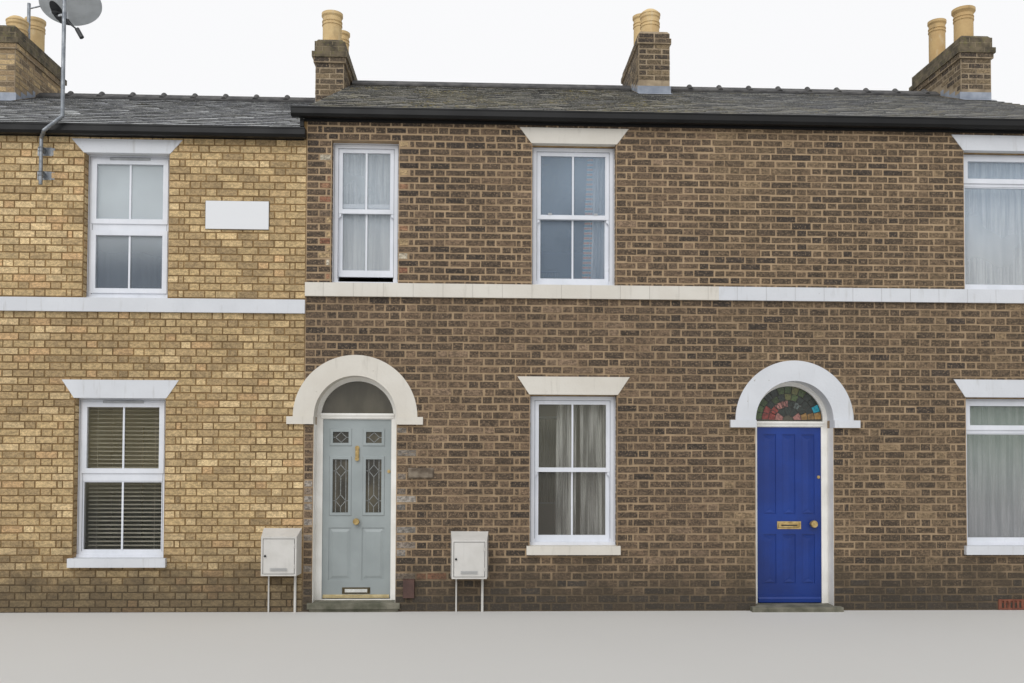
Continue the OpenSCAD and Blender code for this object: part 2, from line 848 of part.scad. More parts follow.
// Low flues with saucers over them, as their place from front to back on the last stack
saucers = [-80, 150];
saucer_neck = pot_r * 0.5;
pot_ring = 9;
pot_seat = 1;

module at_stack(i, y) {
    translate([stack_side[i] + stack_width[i] / 2, y, stack_tops[i]]) children();
}

module block(w, d, z, h) translate([-w / 2, -d / 2, z]) cube([w, d, h]);

// Mortar bed with sloping sides on top of stack i, cut round the feet of its pots
module flaunching(i) {
    w = stack_width[i];
    in = 30;
    difference() {
        at_stack(i, 0) translate([-w / 2, -stack_d / 2, 0]) intersection() {
            along_row(0, w) polygon([[0, 0], [stack_d, 0], [stack_d - in, flaunching_h], [in, flaunching_h]]);
            translate([0, stack_d, 0]) rotate([90, 0, 0]) linear_extrude(stack_d)
                polygon([[0, 0], [w, 0], [w - in, flaunching_h], [in, flaunching_h]]);
        }
        for (p = pots) if (p[0] == i) at_stack(i, p[1]) cylinder(big, p[3] + pot_seat, p[3] + pot_seat, $fn = 64);
        if (i == 3) for (y = saucers) at_stack(i, y)
            cylinder(big, saucer_neck + pot_seat, saucer_neck + pot_seat, $fn = 48);
    }
}

module stack(i) {
    w = stack_width[i];
    color(brown) {
        at_stack(i, 0) {
            block(w, stack_d, stack_foot(i) - stack_tops[i], stack_tops[i] - stack_foot(i));
            for (c = head_courses(i)) block(w + 2 * c[2], stack_d + 2 * c[2], -c[0], c[1]);
        }
        flaunching(i);
    }
}

module chimney_stack_1() stack(0);
module chimney_stack_2() stack(1);
module chimney_stack_3() stack(2);
module chimney_stack_4() stack(3);

// Round pot with a foot ring and two rings under its lip
module pot(h, r, lip) {
    ring_r = r + pot_ring;
    rotate_extrude($fn = 64) polygon([
        [r - pot_t, 0], [r, 0], [r, 44], [ring_r, 47], [ring_r, 58], [r, 61], [r, h - 182], [ring_r, h - 178],
        [ring_r, h - 164], [r, h - 160], [r, h - 134], [ring_r, h - 130], [ring_r, h - 116], [r, h - 112],
        [r, h - 48 - lip], [r + lip, h - 40], [r + lip, h], [r - pot_t, h]]);
}

// Pot with a round hood over its lip
module hooded_pot(h, r) {
    hood_r = r + 17;
    pot(h - 90, r, 12);
    translate([0, 0, h - 90]) rotate_extrude($fn = 64)
        polygon([[0, 30], [r * 0.8, 0], [hood_r, 0], [hood_r, 15], [r * 0.9, 45], [r * 0.6, 75], [0, 90]]);
}

// Low flue top with a saucer over it
module capped_flue(r) {
    rotate_extrude($fn = 48) polygon([[0, 0], [saucer_neck, 0], [saucer_neck, 60], [r, 66], [r * 0.8, 84], [0, 110]]);
}

module pots_of(i) {
    color(clay) for (p = pots) if (p[0] == i) at_stack(i, p[1])
        if (p[4] == 0) hooded_pot(p[2], p[3]); else pot(p[2], p[3], p[4]);
}

module chimney_pots_1() pots_of(0);
module chimney_pots_2() pots_of(1);
module chimney_pots_3() pots_of(2);

module chimney_pots_4() {
    pots_of(3);
    color(clay) for (y = saucers) at_stack(3, y) capped_flue(pot_r * 0.75);
}

// Heights of the fascia's edges: just under the slates, and a lap below the top of the wall
function fascia_top(is_buff) = roof_top(is_buff, house_d / 2 + fascia_t) - slate_edge_t - seat_gap;
function fascia_foot(is_buff) = under_roof(is_buff, house_d / 2) - (is_buff ? buff_fascia_lap : fascia_lap);
function gutter_z(is_buff) = roof_top(is_buff, house_d / 2 + eaves_over) - slate_edge_t - seat_gap - gutter_h;

module fascia_board(from, to, is_buff, side) {
    y = side < 0 ? front_y - fascia_t : house_d / 2;
    low = fascia_foot(is_buff);
    translate([from, y, low]) cube([to - from, fascia_t, fascia_top(is_buff) - low]);
}

// Board that closes the gap between the buff slates and the brown gutter
module end_board(side) {
    low = buff_top(house_d / 2) + seat_gap;
    translate([brown_roof_x - end_board_w, side < 0 ? front_y - end_board_d : house_d / 2, low])
        cube([end_board_w, end_board_d, gutter_z(false) - seat_gap - low]);
}

module fascia_boards() {
    color(black) for (side = [-1, 1]) {
        fascia_board(x0, brown_roof_x, true, side);
        fascia_board(brown_roof_x, x3, false, side);
        end_board(side);
    }
}

// Outline of a gutter trough, drawn t inside its outer face
module trough_outline(t, top) {
    polygon([[t, top], [t, gutter_slant], [gutter_slant, t], [gutter_w - gutter_slant, t],
        [gutter_w - t, gutter_slant], [gutter_w - t, top]]);
}

// Open trough with stopped ends and a lip, against the fascia
module gutter(from, to, is_buff, side) {
    mirror([0, side < 0 ? 1 : 0, 0]) translate([0, house_d / 2 + fascia_t, gutter_z(is_buff)]) {
        difference() {
            along_row(from, to) trough_outline(0, gutter_h);
            along_row(from + gutter_t, to - gutter_t) trough_outline(gutter_t, gutter_h + 1);
        }
        translate([from, gutter_w, gutter_h - gutter_lip]) cube([to - from, gutter_lip_out, gutter_lip]);
    }
}

module buff_gutters() {
    color(black) for (side = [-1, 1]) gutter(x0, x1, true, side);
}

module brown_gutters() {
    color(black) for (side = [-1, 1]) gutter(brown_roof_x - gutter_past, x3, false, side);
}

module string_piece(from, to, z) {
    translate([from, front_y - string_out, z]) cube([to - from, string_out + stone_in, string_h]);
}

module string_courses() {
    color(stone) {
        string_piece(x0, x1, buff_string_z);
        difference() {
            string_piece(x1, x3, brown_string_z);
            translate([x1 - 1, -big, brown_string_z - 1]) cube([1, big, string_h]);
        }
    }
}

module window_lintels() {
    color(stone) {
        for (win = lintelled) {
            through(front_y - lintel_out, front_y + stone_in) lintel_outline(win);
            through(house_d / 2 - stone_in, house_d / 2 + lintel_out) lintel_outline(win);
        }
        for (way = ways)
            through(house_d / 2 - stone_in, house_d / 2 + lintel_out) lintel_outline(back_way(way));
    }
}

module window_sills() {
    color(stone) {
        for (win = [buff_low, middle_low, right_low])
            through(front_y - sill_out, front_y + stone_in) sill_outline(win);
        for (win = lintelled)
            through(house_d / 2 - stone_in, house_d / 2 + sill_out) sill_outline(win);
    }
}

// Round arch of stone with its two impost blocks
module door_arch(way) {
    color(stone) {
        through(front_y - arch_out, front_y + wall_t) difference() {
            arch_outline(way, outer_r(way), way[2]);
            arch_outline(way, way[1] / 2, way[2] - 1);
        }
        for (side = [-1, 1])
            through(front_y - impost_out, front_y + stone_in) impost_outline(way, side);
    }
}

module left_door_arch() door_arch(left_way);
module grey_door_arch() door_arch(grey_way);
module blue_door_arch() door_arch(blue_way);

// Outline of a stone slab, in depth and height, whose upper front edge is round
module slab_outline(out, low, high) {
    nose = front_y - out;
    translate([nose + step_round, low]) square([out - step_round, high - low]);
    translate([nose, low]) square([step_round, high - low - step_round]);
    translate([nose + step_round, high - step_round]) circle(step_round, $fn = 32);
}

// Step with its slab, the plinth under it and the floor of the doorway behind it
module step(way, out, side, slab) {
    from = way[0] - way[1] / 2 - side;
    to = way[0] + way[1] / 2 + side;
    along_row(from, to) slab_outline(out, way[4] - slab, way[4]);
    if (slab < way[4]) {
        back = step_back;
        translate([from + back, front_y - out + back, 0]) cube([to - from - 2 * back, out - back, way[4] - slab]);
    }
    translate([way[0] - way[1] / 2, front_y, 0]) cube([way[1], wall_t, way[4]]);
}

module door_steps() {
    color("#a39a8a") {
        step(left_way, step_out, step_side, step_t);
        step(grey_way, step_out, step_side, step_t);
        step(blue_way, blue_step_out, blue_step_side, blue_way[4]);
    }
}

door_y = front_y + door_reveal;
leaf_y = door_y + leaf_set;
leaf_back_y = leaf_y + leaf_t;
hinge_y = leaf_back_y + knuckle_r + seat_gap;

// A leaf laps behind its stops by leaf_lap at both sides and at the top
function leaf_x(way) = way[0] - way[1] / 2 + door_frame_face - leaf_lap;
function leaf_w(way) = way[1] - 2 * door_frame_face + 2 * leaf_lap;
function leaf_z(way) = way[4] + way[5] + leaf_gap;
function leaf_top(way) = way[3] + leaf_lap;
function hinge_x(way) = leaf_x(way) + seat_gap;
function hinge_zs(way) = [leaf_z(way) + 150, (leaf_z(way) + leaf_top(way)) / 2, leaf_top(way) - 240];
function light_low(way) = way[3] + transom_h;
function light_r(way) = way[1] / 2 - light_face;

// Frame that fills the arched opening, with door stops, the transom and the light over it
module door_frame(way) {
    stop_w = leaf_w(way) - 2 * leaf_lap;
    rebate_w = leaf_w(way) + 2 * leaf_gap;
    sill = way[4] + way[5];
    color(white) difference() {
        through(door_y, door_y + door_frame_d) difference() {
            way_outline(way, way[4] + seat_gap);
            translate([way[0] - stop_w / 2, sill]) square([stop_w, way[3] - sill]);
            arch_outline(way, light_r(way), light_low(way));
        }
        through(leaf_y - stop_gap, door_y + door_frame_d + 1) translate([way[0] - rebate_w / 2, sill])
            square([rebate_w, leaf_top(way) + leaf_gap - sill]);
    }
    transom_mould(way);
}

// Moulding along the transom, deeper at its upper edge
module transom_mould(way) {
    out = 22;
    low = way[3] + 12;
    w = leaf_w(way) + 40;
    color(white) along_row(way[0] - w / 2, way[0] + w / 2)
        polygon([[door_y, low], [door_y, light_low(way)], [door_y - out, light_low(way)],
            [door_y - out, light_low(way) - 20], [door_y - 10, low + 8], [door_y - 10, low]]);
}

// The outer parts of the hinges, on the frame
module frame_knuckles(way) {
    tab = 8;
    reach = leaf_gap + 2;
    for (z = hinge_zs(way)) for (end = [-seat_gap, 2 * hinge_h / 3 + seat_gap])
        translate([hinge_x(way), hinge_y, z + end]) {
            cylinder(hinge_h / 3, knuckle_r, knuckle_r, $fn = 32);
            translate([-reach, -tab / 2, 0]) cube([reach, tab, hinge_h / 3]);
        }
}

// The middle parts of the hinges, on the leaf
module leaf_knuckles(way) {
    for (z = hinge_zs(way))
        translate([hinge_x(way), hinge_y, z + hinge_h / 3]) {
            cylinder(hinge_h / 3, knuckle_r, knuckle_r, $fn = 32);
            translate([0, -knuckle_r - seat_gap, 0]) cube([30, 5, hinge_h / 3]);
        }
}

module left_door_frame() door_frame(left_way);

module hinged_frame(way) {
    door_frame(way);
    color(white) frame_knuckles(way);
}

module grey_door_frame() hinged_frame(grey_way);
module blue_door_frame() hinged_frame(blue_way);

module fanlights() {
    color("#39424c") for (way = ways)
        through(door_y + 36, door_y + 36 + glass_t) arch_outline(way, light_r(way), light_low(way));
}

module leaf_slab(way) {
    translate([leaf_x(way), leaf_y, leaf_z(way)]) cube([leaf_w(way), leaf_t, leaf_top(way) - leaf_z(way)]);
}

// Places a panel, w wide, by the middle of its width from the middle of the door
module at_panel(way, shift, z, w) translate([way[0] + shift - w / 2, leaf_y, z]) children();

module sunk_panel(w, h) translate([0, -1, 0]) cube([w, panel_sink + 1, h]);

module raised_panel(w, h, bevel) {
    translate([panel_edge, panel_sink, panel_edge])
        field(w - 2 * panel_edge, h - 2 * panel_edge, bevel, panel_sink - 1);
}

grey_lights = [[small_light_z, small_light_h], [tall_light_z, tall_light_h]];
blue_panels = [[blue_low_panel_z, blue_low_panel_h], [blue_panel_z, blue_panel_h]];

module grey_door() {
    w = grey_panel_w;
    pane_w = w - 2 * light_edge;
    color("#929ca3") {
        difference() {
            union() {
                leaf_slab(grey_way);
                for (side = [-1, 1]) for (light = grey_lights)
                    at_panel(grey_way, side * grey_panel_at, light[0], w)
                        field(w, light[1], light_rise, light_rise);
            }
            for (side = [-1, 1]) {
                for (light = grey_lights)
                    at_panel(grey_way, side * grey_panel_at, light[0] + light_edge, pane_w)
                        translate([0, -leaf_t, 0]) cube([pane_w, 3 * leaf_t, light[1] - 2 * light_edge]);
                at_panel(grey_way, side * grey_panel_at, grey_panel_z, w) sunk_panel(w, grey_panel_h);
            }
        }
        for (side = [-1, 1])
            at_panel(grey_way, side * grey_panel_at, grey_panel_z, w) raised_panel(w, grey_panel_h, 30);
        leaf_knuckles(grey_way);
    }
}

module grey_door_glass() {
    pane_w = grey_panel_w - 2 * light_edge;
    color("#39424c") for (side = [-1, 1]) for (light = grey_lights)
        at_panel(grey_way, side * grey_panel_at, light[0] + light_edge, pane_w)
            translate([0, leaf_t / 2, 0]) cube([pane_w, glass_t, light[1] - 2 * light_edge]);
}

// Bar at the foot of a door that throws rain clear of the step
module weather_bar(way, h) {
    w = way[1] - 2 * door_frame_face - 2 * weather_gap;
    translate([way[0] - w / 2, leaf_y, leaf_z(way) + 2]) along_row(0, w)
        polygon([[0, 0], [-weather_out, 0], [-weather_out, h * 0.55], [-6, h * 0.8], [-6, h], [0, h]]);
}

module blue_door() {
    w = blue_panel_w;
    color("#233c82") {
        difference() {
            leaf_slab(blue_way);
            for (col = [-1:1]) for (p = blue_panels)
                at_panel(blue_way, col * blue_panel_at, p[0], w) sunk_panel(w, p[1]);
        }
        for (col = [-1:1]) for (p = blue_panels)
            at_panel(blue_way, col * blue_panel_at, p[0], w) raised_panel(w, p[1], w / 2 - panel_edge - 3);
        weather_bar(blue_way, weather_board_h);
        leaf_knuckles(blue_way);
    }
}

// Fixed doors: the left house's front door and the three back doors
module left_doors() {
    color("#5b6a5a") {
        leaf_fixed(left_way);
        for (way = ways) back_door(way);
    }
}

module leaf_fixed(way) {
    w = leaf_w(way) + 2 * leaf_gap;
    low = way[4] + way[5];
    translate([way[0] - w / 2, leaf_y - stop_gap, low]) cube([w, leaf_t, leaf_top(way) + leaf_gap - low]);
}

module back_door(way) {
    translate([way[0] + rear_door_shift - way[1] / 2, house_d / 2 - reveal - leaf_t, way[4]])
        cube([way[1], leaf_t, rear_door_head - way[4]]);
}

module knob(r) {
    rotate([90, 0, 0]) {
        cylinder(6, r * 0.8, r * 0.8, $fn = 32);
        cylinder(34, r * 0.42, r * 0.42, $fn = 32);
        translate([0, 0, 44]) intersection() {
            sphere(r, $fn = 32);
            translate([-r, -r, -18]) cube([2 * r, 2 * r, 40]);
        }
    }
}

module lock(way, z) {
    right = way[0] + way[1] / 2 - door_frame_face;
    translate([right - lock_in, leaf_y, z]) rotate([90, 0, 0]) {
        cylinder(8, lock_r, lock_r, $fn = 32);
        cylinder(11, lock_r * 0.6, lock_r * 0.6, $fn = 32);
    }
}

// Plate with a raised flap inside its rim
module letter_plate(w, h) {
    rim = 14;
    plate_t = 6;
    translate([-w / 2, -plate_t, 0]) cube([w, plate_t, h]);
    translate([-w / 2 + rim, -plate_t, rim]) field(w - 2 * rim, h - 2 * rim, 6, 6);
}

// Long knocker: a hinge block, a tapering hammer and a striking stud
module knocker(w, h) {
    rotate([90, 0, 0]) translate([0, h - w / 2, 0]) cylinder(16, w / 2, w / 2, $fn = 32);
    translate([-w / 2, 0, w / 2]) field(w, h - w, 6, 24);
    rotate([90, 0, 0]) translate([0, w / 2, 0]) cylinder(28, w / 2, w / 2, $fn = 32);
}

module grey_door_fittings() {
    color(gold) {
        translate([grey_way[0], leaf_y, 955]) knob(37);
        translate([grey_way[0], leaf_y, 163]) letter_plate(306, 70);
        translate([grey_way[0], leaf_y, 1618]) knocker(46, 168);
        lock(grey_way, 1504);
        weather_bar(grey_way, weather_bar_h);
    }
}

module blue_door_fittings() {
    color(gold) {
        translate([blue_way[0] + 268, leaf_y, 932]) knob(42);
        translate([blue_way[0], leaf_y, 874]) letter_plate(270, 85);
        lock(blue_way, 1454);
    }
}

// Frame members round a hole, w by h, with side, low and high faces, from depth y0 to y1
module ring(w, h, side, low, high, y0, y1) {
    translate([-w / 2, y0, 0]) difference() {
        cube([w, y1 - y0, h]);
        translate([side, -1, low]) cube([w - 2 * side, y1 - y0 + 2, h - low - high]);
    }
}

module sill_bar(w) translate([-w / 2, -sill_bar_out, 0]) cube([w, sill_bar_out + 1, sill_bar_h]);

// Curved horn under a meeting rail, which bends towards the stile
module horn(side, x) {
    horn_w = sash_face * 0.7;
    mirror([side < 0 ? 1 : 0, 0, 0]) translate([x - sash_face, 0, -horn_h]) through(sash_front + 6, sash_front + 26)
        translate([sash_face - horn_w, 0]) difference() {
            square([horn_w, horn_h + 1]);
            circle(horn_w * 0.8, $fn = 32);
        }
}

sash_front = 12;
sash_t = 34;
pane_in = 14;

// Two sliding sashes in their box, the upper one in front and the lower one raised by lift
module sash_unit(win, rail, lift) {
    w = win[1];
    h = win[3] - win[2];
    in_w = w - 2 * box_face;
    high_z = rail - meeting_rail_h / 2;
    back = sash_front + sash_t + 2;
    ring(w, h, box_face, sill_bar_h, box_face, 0, window_frame_d);
    sill_bar(w);
    translate([0, 0, high_z])
        ring(in_w, h - box_face - high_z, sash_face, meeting_rail_h, sash_face, sash_front, sash_front + sash_t);
    translate([0, 0, sill_bar_h + lift])
        ring(in_w, high_z + meeting_rail_h - sill_bar_h, sash_face, bottom_rail_h, meeting_rail_h, back,
            back + sash_t);
    for (side = [-1, 1]) translate([0, 0, high_z]) horn(side, in_w / 2);
}

module sash_panes(win, rail, lift) {
    w = win[1] - 2 * box_face - 2 * sash_face;
    h = win[3] - win[2];
    low_z = sill_bar_h + bottom_rail_h;
    mid_z = rail - meeting_rail_h / 2;
    high_z = rail + meeting_rail_h / 2;
    translate([-w / 2, sash_front + sash_t + 2 + pane_in, low_z + lift]) cube([w, glass_t, mid_z - low_z]);
    translate([-w / 2, sash_front + pane_in, high_z]) cube([w, glass_t, h - box_face - sash_face - high_z]);
}

// Hinged light between two heights of a window of width w, whose frame laps over the fixed one in front
module hinged_light(w, low, high) {
    lap = 12;
    in_w = w - 2 * frame_face;
    face = sash_face + lap;
    translate([0, 0, low - lap]) ring(in_w + 2 * lap, high - low + 2 * lap, face, face, face, -14, 1);
    translate([0, 0, low]) ring(in_w, high - low, sash_face, sash_face, sash_face, 0, 40);
}

function casement_foot(both) = sill_bar_h + frame_face * (both ? 1 : 0.7);

// Two lights one above the other: the upper is hinged, and the lower is fixed unless both are hinged
module casement_unit(win, rail, rail_h, both) {
    w = win[1];
    h = win[3] - win[2];
    foot = casement_foot(both);
    low_top = rail - rail_h / 2;
    ring(w, h, frame_face, foot, frame_face, 0, window_frame_d);
    sill_bar(w);
    translate([-w / 2 + frame_face - 1, 0, low_top]) cube([w - 2 * frame_face + 2, window_frame_d, rail_h]);
    hinged_light(w, rail + rail_h / 2, h - frame_face);
    if (both) hinged_light(w, foot, low_top);
    else translate([0, 0, foot])
        ring(w - 2 * frame_face, low_top - foot, bead_face, bead_face, bead_face, 8, 40);
}

module casement_panes(win, rail, rail_h, both) {
    in_w = win[1] - 2 * frame_face;
    h = win[3] - win[2];
    edge = both ? sash_face : bead_face;
    low_z = casement_foot(both) + edge;
    high_z = rail + rail_h / 2 + sash_face;
    translate([-in_w / 2 + edge, pane_in, low_z])
        cube([in_w - 2 * edge, glass_t, rail - rail_h / 2 - edge - low_z]);
    translate([-in_w / 2 + sash_face, pane_in, high_z])
        cube([in_w - 2 * sash_face, glass_t, h - frame_face - sash_face - high_z]);
}

frame_y = front_y + reveal;

// Places a window in the front wall, and again in the rear wall facing the other way
module front_place(win) translate([win[0], frame_y, win[2]]) children();
module rear_place(win) translate([win[0], -frame_y, win[2]]) rotate([0, 0, 180]) children();

// Every window as its opening, the middle of its rail, whether the rear repeats it, the rail's height or 0 for
// sliding sashes, and whether both its lights are hinged or how far its lower sash stands open
left_set = [[buff_low, buff_rail, true, buff_rail_h, false], [buff_high, buff_upper_rail, true, buff_rail_h, true]];
middle_set = [[middle_low, middle_rail, true, 0, 0], [middle_high, middle_upper_rail, true, 0, 0],
    [narrow_high, narrow_rail, false, 0, narrow_open]];
right_set = [[right_low, right_rail, true, right_rail_h, false],
    [right_high, right_upper_rail, true, right_rail_h, false]];

module window_unit(item) {
    if (item[3] > 0) casement_unit(item[0], item[1], item[3], item[4]);
    else sash_unit(item[0], item[1], item[4]);
}

module window_panes(item) {
    if (item[3] > 0) casement_panes(item[0], item[1], item[3], item[4]);
    else sash_panes(item[0], item[1], item[4]);
}

module window_set(set) {
    for (item = set) {
        front_place(item[0]) window_unit(item);
        if (item[2]) rear_place(item[0]) window_unit(item);
    }
}

module left_windows() color(white) window_set(left_set);
module middle_windows() color(white) window_set(middle_set);
module right_windows() color(white) window_set(right_set);

module window_glass() {
    color("#66717c") for (item = concat(left_set, middle_set, right_set)) {
        front_place(item[0]) window_panes(item);
        if (item[2]) rear_place(item[0]) window_panes(item);
    }
}

meter_gap = 6;
meter_door_t = 8;
meter_knuckle_r = 5;
meter_knuckle_h = 12;
meter_door_w = meter_w - 2 * meter_rim - 2 * meter_gap;
meter_door_h = meter_h - 2 * meter_rim - 2 * meter_gap;
meter_hinge_x = meter_w / 2 - meter_rim - meter_gap;
meter_hinge_y = -meter_d - meter_knuckle_r - seat_gap;
meter_hinges = [meter_h * 0.2, meter_h * 0.72];
meter_pipe_at = meter_w * 0.38;
conduit_r = 9;

// Outline of a meter box seen from above, wider at the wall
module meter_plan(w) {
    polygon([[-w / 2, -meter_d], [w / 2, -meter_d], [w / 2 + meter_flare, 0], [-w / 2 - meter_flare, 0]]);
}

// Open box on the wall with a sloping hood, and its pipes to the ground
module meter_box(x, z) {
    translate([x, front_y, z]) {
        difference() {
            intersection() {
                linear_extrude(big) meter_plan(meter_w);
                along_row(-big, big)
                    polygon([[0, 0], [0, meter_h + meter_hood_h], [-meter_d, meter_h], [-meter_d, 0]]);
            }
            translate([-meter_w / 2 + meter_t, -meter_d + meter_t, meter_t])
                cube([meter_w - 2 * meter_t, meter_d - 2 * meter_t, meter_h - 2 * meter_t]);
            translate([-meter_w / 2 + meter_rim, -meter_d - 1, meter_rim])
                cube([meter_w - 2 * meter_rim, meter_t + 2, meter_h - 2 * meter_rim]);
        }
        for (low = meter_hinges) for (end = [-seat_gap, 2 * meter_knuckle_h + seat_gap])
            translate([meter_hinge_x, meter_hinge_y, low + end]) {
                cylinder(meter_knuckle_h, meter_knuckle_r, meter_knuckle_r, $fn = 32);
                translate([0, -2, 0]) cube([meter_gap + 4, meter_knuckle_r + seat_gap + 4, meter_knuckle_h]);
            }
        translate([meter_pipe_at, -meter_pipe_r - 10, -z]) cylinder(z + 1, meter_pipe_r, meter_pipe_r, $fn = 32);
        translate([-meter_pipe_at, -conduit_r - 10, -z]) cylinder(z + 1, conduit_r, conduit_r, $fn = 32);
    }
}

module meter_door(x, z) {
    translate([x, front_y, z]) {
        translate([-meter_door_w / 2, -meter_d, meter_rim + meter_gap])
            cube([meter_door_w, meter_door_t, meter_door_h]);
        for (low = meter_hinges)
            translate([meter_hinge_x, meter_hinge_y, low + meter_knuckle_h]) {
                cylinder(meter_knuckle_h, meter_knuckle_r, meter_knuckle_r, $fn = 32);
                translate([-14, 2, 0]) cube([14, meter_knuckle_r - 1 + seat_gap, meter_knuckle_h]);
            }
    }
}

module meter_boxes() {
    color(white) {
        meter_box(x1 + left_meter_at, left_meter_z);
        meter_box(x1 + right_meter_at, right_meter_z);
    }
}

module left_meter_door() color(white) meter_door(x1 + left_meter_at, left_meter_z);
module right_meter_door() color(white) meter_door(x1 + right_meter_at, right_meter_z);

// Blank plaque on the buff wall and the rough stone by the grey door
module wall_stones() {
    color(stone) {
        translate([x0 + plaque_at - plaque_w / 2, front_y, plaque_z]) field(plaque_w, plaque_h, 6, plaque_t);
        translate([grey_way[0] + block_at - block_w / 2, front_y, block_z]) field(block_w, block_h, 16, block_out);
    }
}

module cable_box() {
    color("#6b5a4a") translate([grey_way[0] + cable_box_at - cable_box_w / 2, front_y, cable_box_z])
        field(cable_box_w, cable_box_h, 5, cable_box_d);
}

module air_brick() {
    slot_w = 25;
    out = 12;
    slots = 5;
    pitch = air_brick_w / (slots + 1);
    color("#a9572f") translate([x2 + air_brick_at - air_brick_w / 2, front_y - out, 4]) difference() {
        cube([air_brick_w, out, air_brick_h]);
        for (i = [1:slots]) translate([pitch * i - slot_w / 2, -1, 20]) cube([slot_w, out - 1, air_brick_h - 40]);
    }
}

mast_x = x0 + mast_at;
mast_upper_x = mast_x + mast_lean;
mast_upper_y = front_y - mast_upper_out;
bracket_zs = [4670, 4930];

// Bent tube that passes under and outside the gutter, on two wall brackets
module aerial_mast() {
    low_y = front_y - mast_out;
    points = [[mast_x, low_y, mast_foot_z], [mast_x, low_y, mast_bend_z],
        [mast_x + mast_lean * 0.3, mast_upper_y, mast_bend_z + 45], [mast_upper_x, mast_upper_y, mast_bend_top_z],
        [mast_upper_x, mast_upper_y, mast_top_z]];
    plate_t = 6;
    color(steel) {
        for (i = [0, 3]) bar(points[i], points[i + 1], mast_r);
        for (i = [1, 2]) hull() for (end = [i, i + 1]) translate(points[end]) sphere(mast_r, $fn = 24);
        for (z = bracket_zs) {
            translate([mast_x - 45, front_y - plate_t, z - 40]) cube([150, plate_t, 80]);
            translate([mast_x - 12, low_y, z - 25]) cube([24, mast_out, 50]);
        }
    }
}

// A point of the dish, turned as the dish is
function dish_turned(p) = let (y = p[1] * cos(dish_lean) + p[2] * sin(dish_lean))
    [p[0] * cos(dish_turn) - y * sin(dish_turn), p[0] * sin(dish_turn) + y * cos(dish_turn),
        p[2] * cos(dish_lean) - p[1] * sin(dish_lean)];

// Shallow bowl that looks up and away from the street, with a round plate under it, a strut from the mast to
// the plate, and the receiver's arm
module dish() {
    rim = 4;
    plate_t = 14;
    plate_turn = 29;
    plate_at = dish_r * 0.65;
    plate_z = dish_bowl * -0.525;
    slope = atan(1.5 * dish_bowl / dish_r);
    middle = [mast_upper_x - dish_left, mast_upper_y + dish_back, dish_z];
    color("#9da3a8") {
        translate(middle) rotate([-dish_lean, 0, dish_turn]) {
            translate([0, 0, -dish_bowl]) rotate_extrude($fn = 64)
                polygon([[0, 0], [dish_r * 0.5, dish_bowl * 0.25], [dish_r, dish_bowl], [dish_r, dish_bowl + rim],
                    [dish_r * 0.5, dish_bowl * 0.25 + rim], [0, rim]]);
            rotate(plate_turn) translate([0, plate_at, plate_z]) rotate([slope, 0, 0])
                translate([0, 0, -plate_t]) cylinder(plate_t + 2, 68, 76, $fn = 48);
        }
        clamp = 26;
        back_y = mast_upper_y + mast_r + seat_gap;
        low = dish_z - 343;
        joint = [mast_upper_x, back_y + 7, low];
        translate([mast_upper_x - clamp, back_y, low]) cube([2 * clamp, 14, 110]);
        bar(joint + [0, 0, 85], middle + dish_turned([-plate_at * sin(plate_turn), plate_at * cos(plate_turn),
            plate_z - plate_t / 2]), 12);
        bar(joint + [20, 0, 12], joint + [130, 0, -78], 9);
        bar(joint + [124, 0, -66], joint + [177, 0, -160], 24);
    }
}

// Thin pole on the first stack with a short cross bar
module chimney_aerial_pole() {
    foot = [stack_side[0] + 280, -20, stack_tops[0] + flaunching_h + seat_gap];
    color(steel) {
        translate(foot) cylinder(pole_h, pole_r, pole_r, $fn = 32);
        translate(foot) cylinder(10, 2 * pole_r, 2 * pole_r, $fn = 32);
        bar(foot + [0, 0, pole_h - 80], foot + [230, 0, pole_h - 20], 11);
    }
}

ground_floors();
upper_floors();
left_front_wall();
door_piers();
grey_door_bay();
middle_front_wall();
blue_door_bay();
right_front_wall();
left_rear_wall();
brown_rear_wall();
party_walls();
left_roof_front();
left_roof_rear();
brown_roof_front();
brown_roof_rear();
ridge_tiles();
lead_flashings();
chimney_stack_1();
chimney_stack_2();
chimney_stack_3();
chimney_stack_4();
chimney_pots_1();
chimney_pots_2();
chimney_pots_3();
chimney_pots_4();
fascia_boards();
buff_gutters();
brown_gutters();
string_courses();
window_lintels();
window_sills();
left_door_arch();
grey_door_arch();
blue_door_arch();
door_steps();
left_door_frame();
grey_door_frame();
blue_door_frame();
fanlights();
left_doors();
grey_door();
blue_door();
grey_door_glass();
grey_door_fittings();
blue_door_fittings();
left_windows();
middle_windows();
right_windows();
window_glass();
meter_boxes();
left_meter_door();
right_meter_door();
wall_stones();
cable_box();
air_brick();
aerial_mast();
dish();
chimney_aerial_pole();
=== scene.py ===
import math
import bpy
import numpy as np
from mathutils import Matrix, Vector


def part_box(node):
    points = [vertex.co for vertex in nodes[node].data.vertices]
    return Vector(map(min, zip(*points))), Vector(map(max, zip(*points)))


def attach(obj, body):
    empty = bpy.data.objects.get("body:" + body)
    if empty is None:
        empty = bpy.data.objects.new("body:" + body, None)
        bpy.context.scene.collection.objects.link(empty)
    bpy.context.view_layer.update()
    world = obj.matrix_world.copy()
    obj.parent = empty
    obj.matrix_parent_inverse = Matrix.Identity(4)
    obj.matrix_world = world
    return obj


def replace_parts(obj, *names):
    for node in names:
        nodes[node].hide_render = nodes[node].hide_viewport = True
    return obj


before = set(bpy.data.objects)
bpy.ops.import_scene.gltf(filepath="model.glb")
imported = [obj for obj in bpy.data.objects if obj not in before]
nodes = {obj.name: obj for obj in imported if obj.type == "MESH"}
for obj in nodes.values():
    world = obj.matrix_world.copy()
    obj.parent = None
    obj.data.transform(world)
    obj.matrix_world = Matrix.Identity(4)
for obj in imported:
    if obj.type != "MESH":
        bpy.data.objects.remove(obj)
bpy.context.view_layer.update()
dice = np.random.default_rng(31)
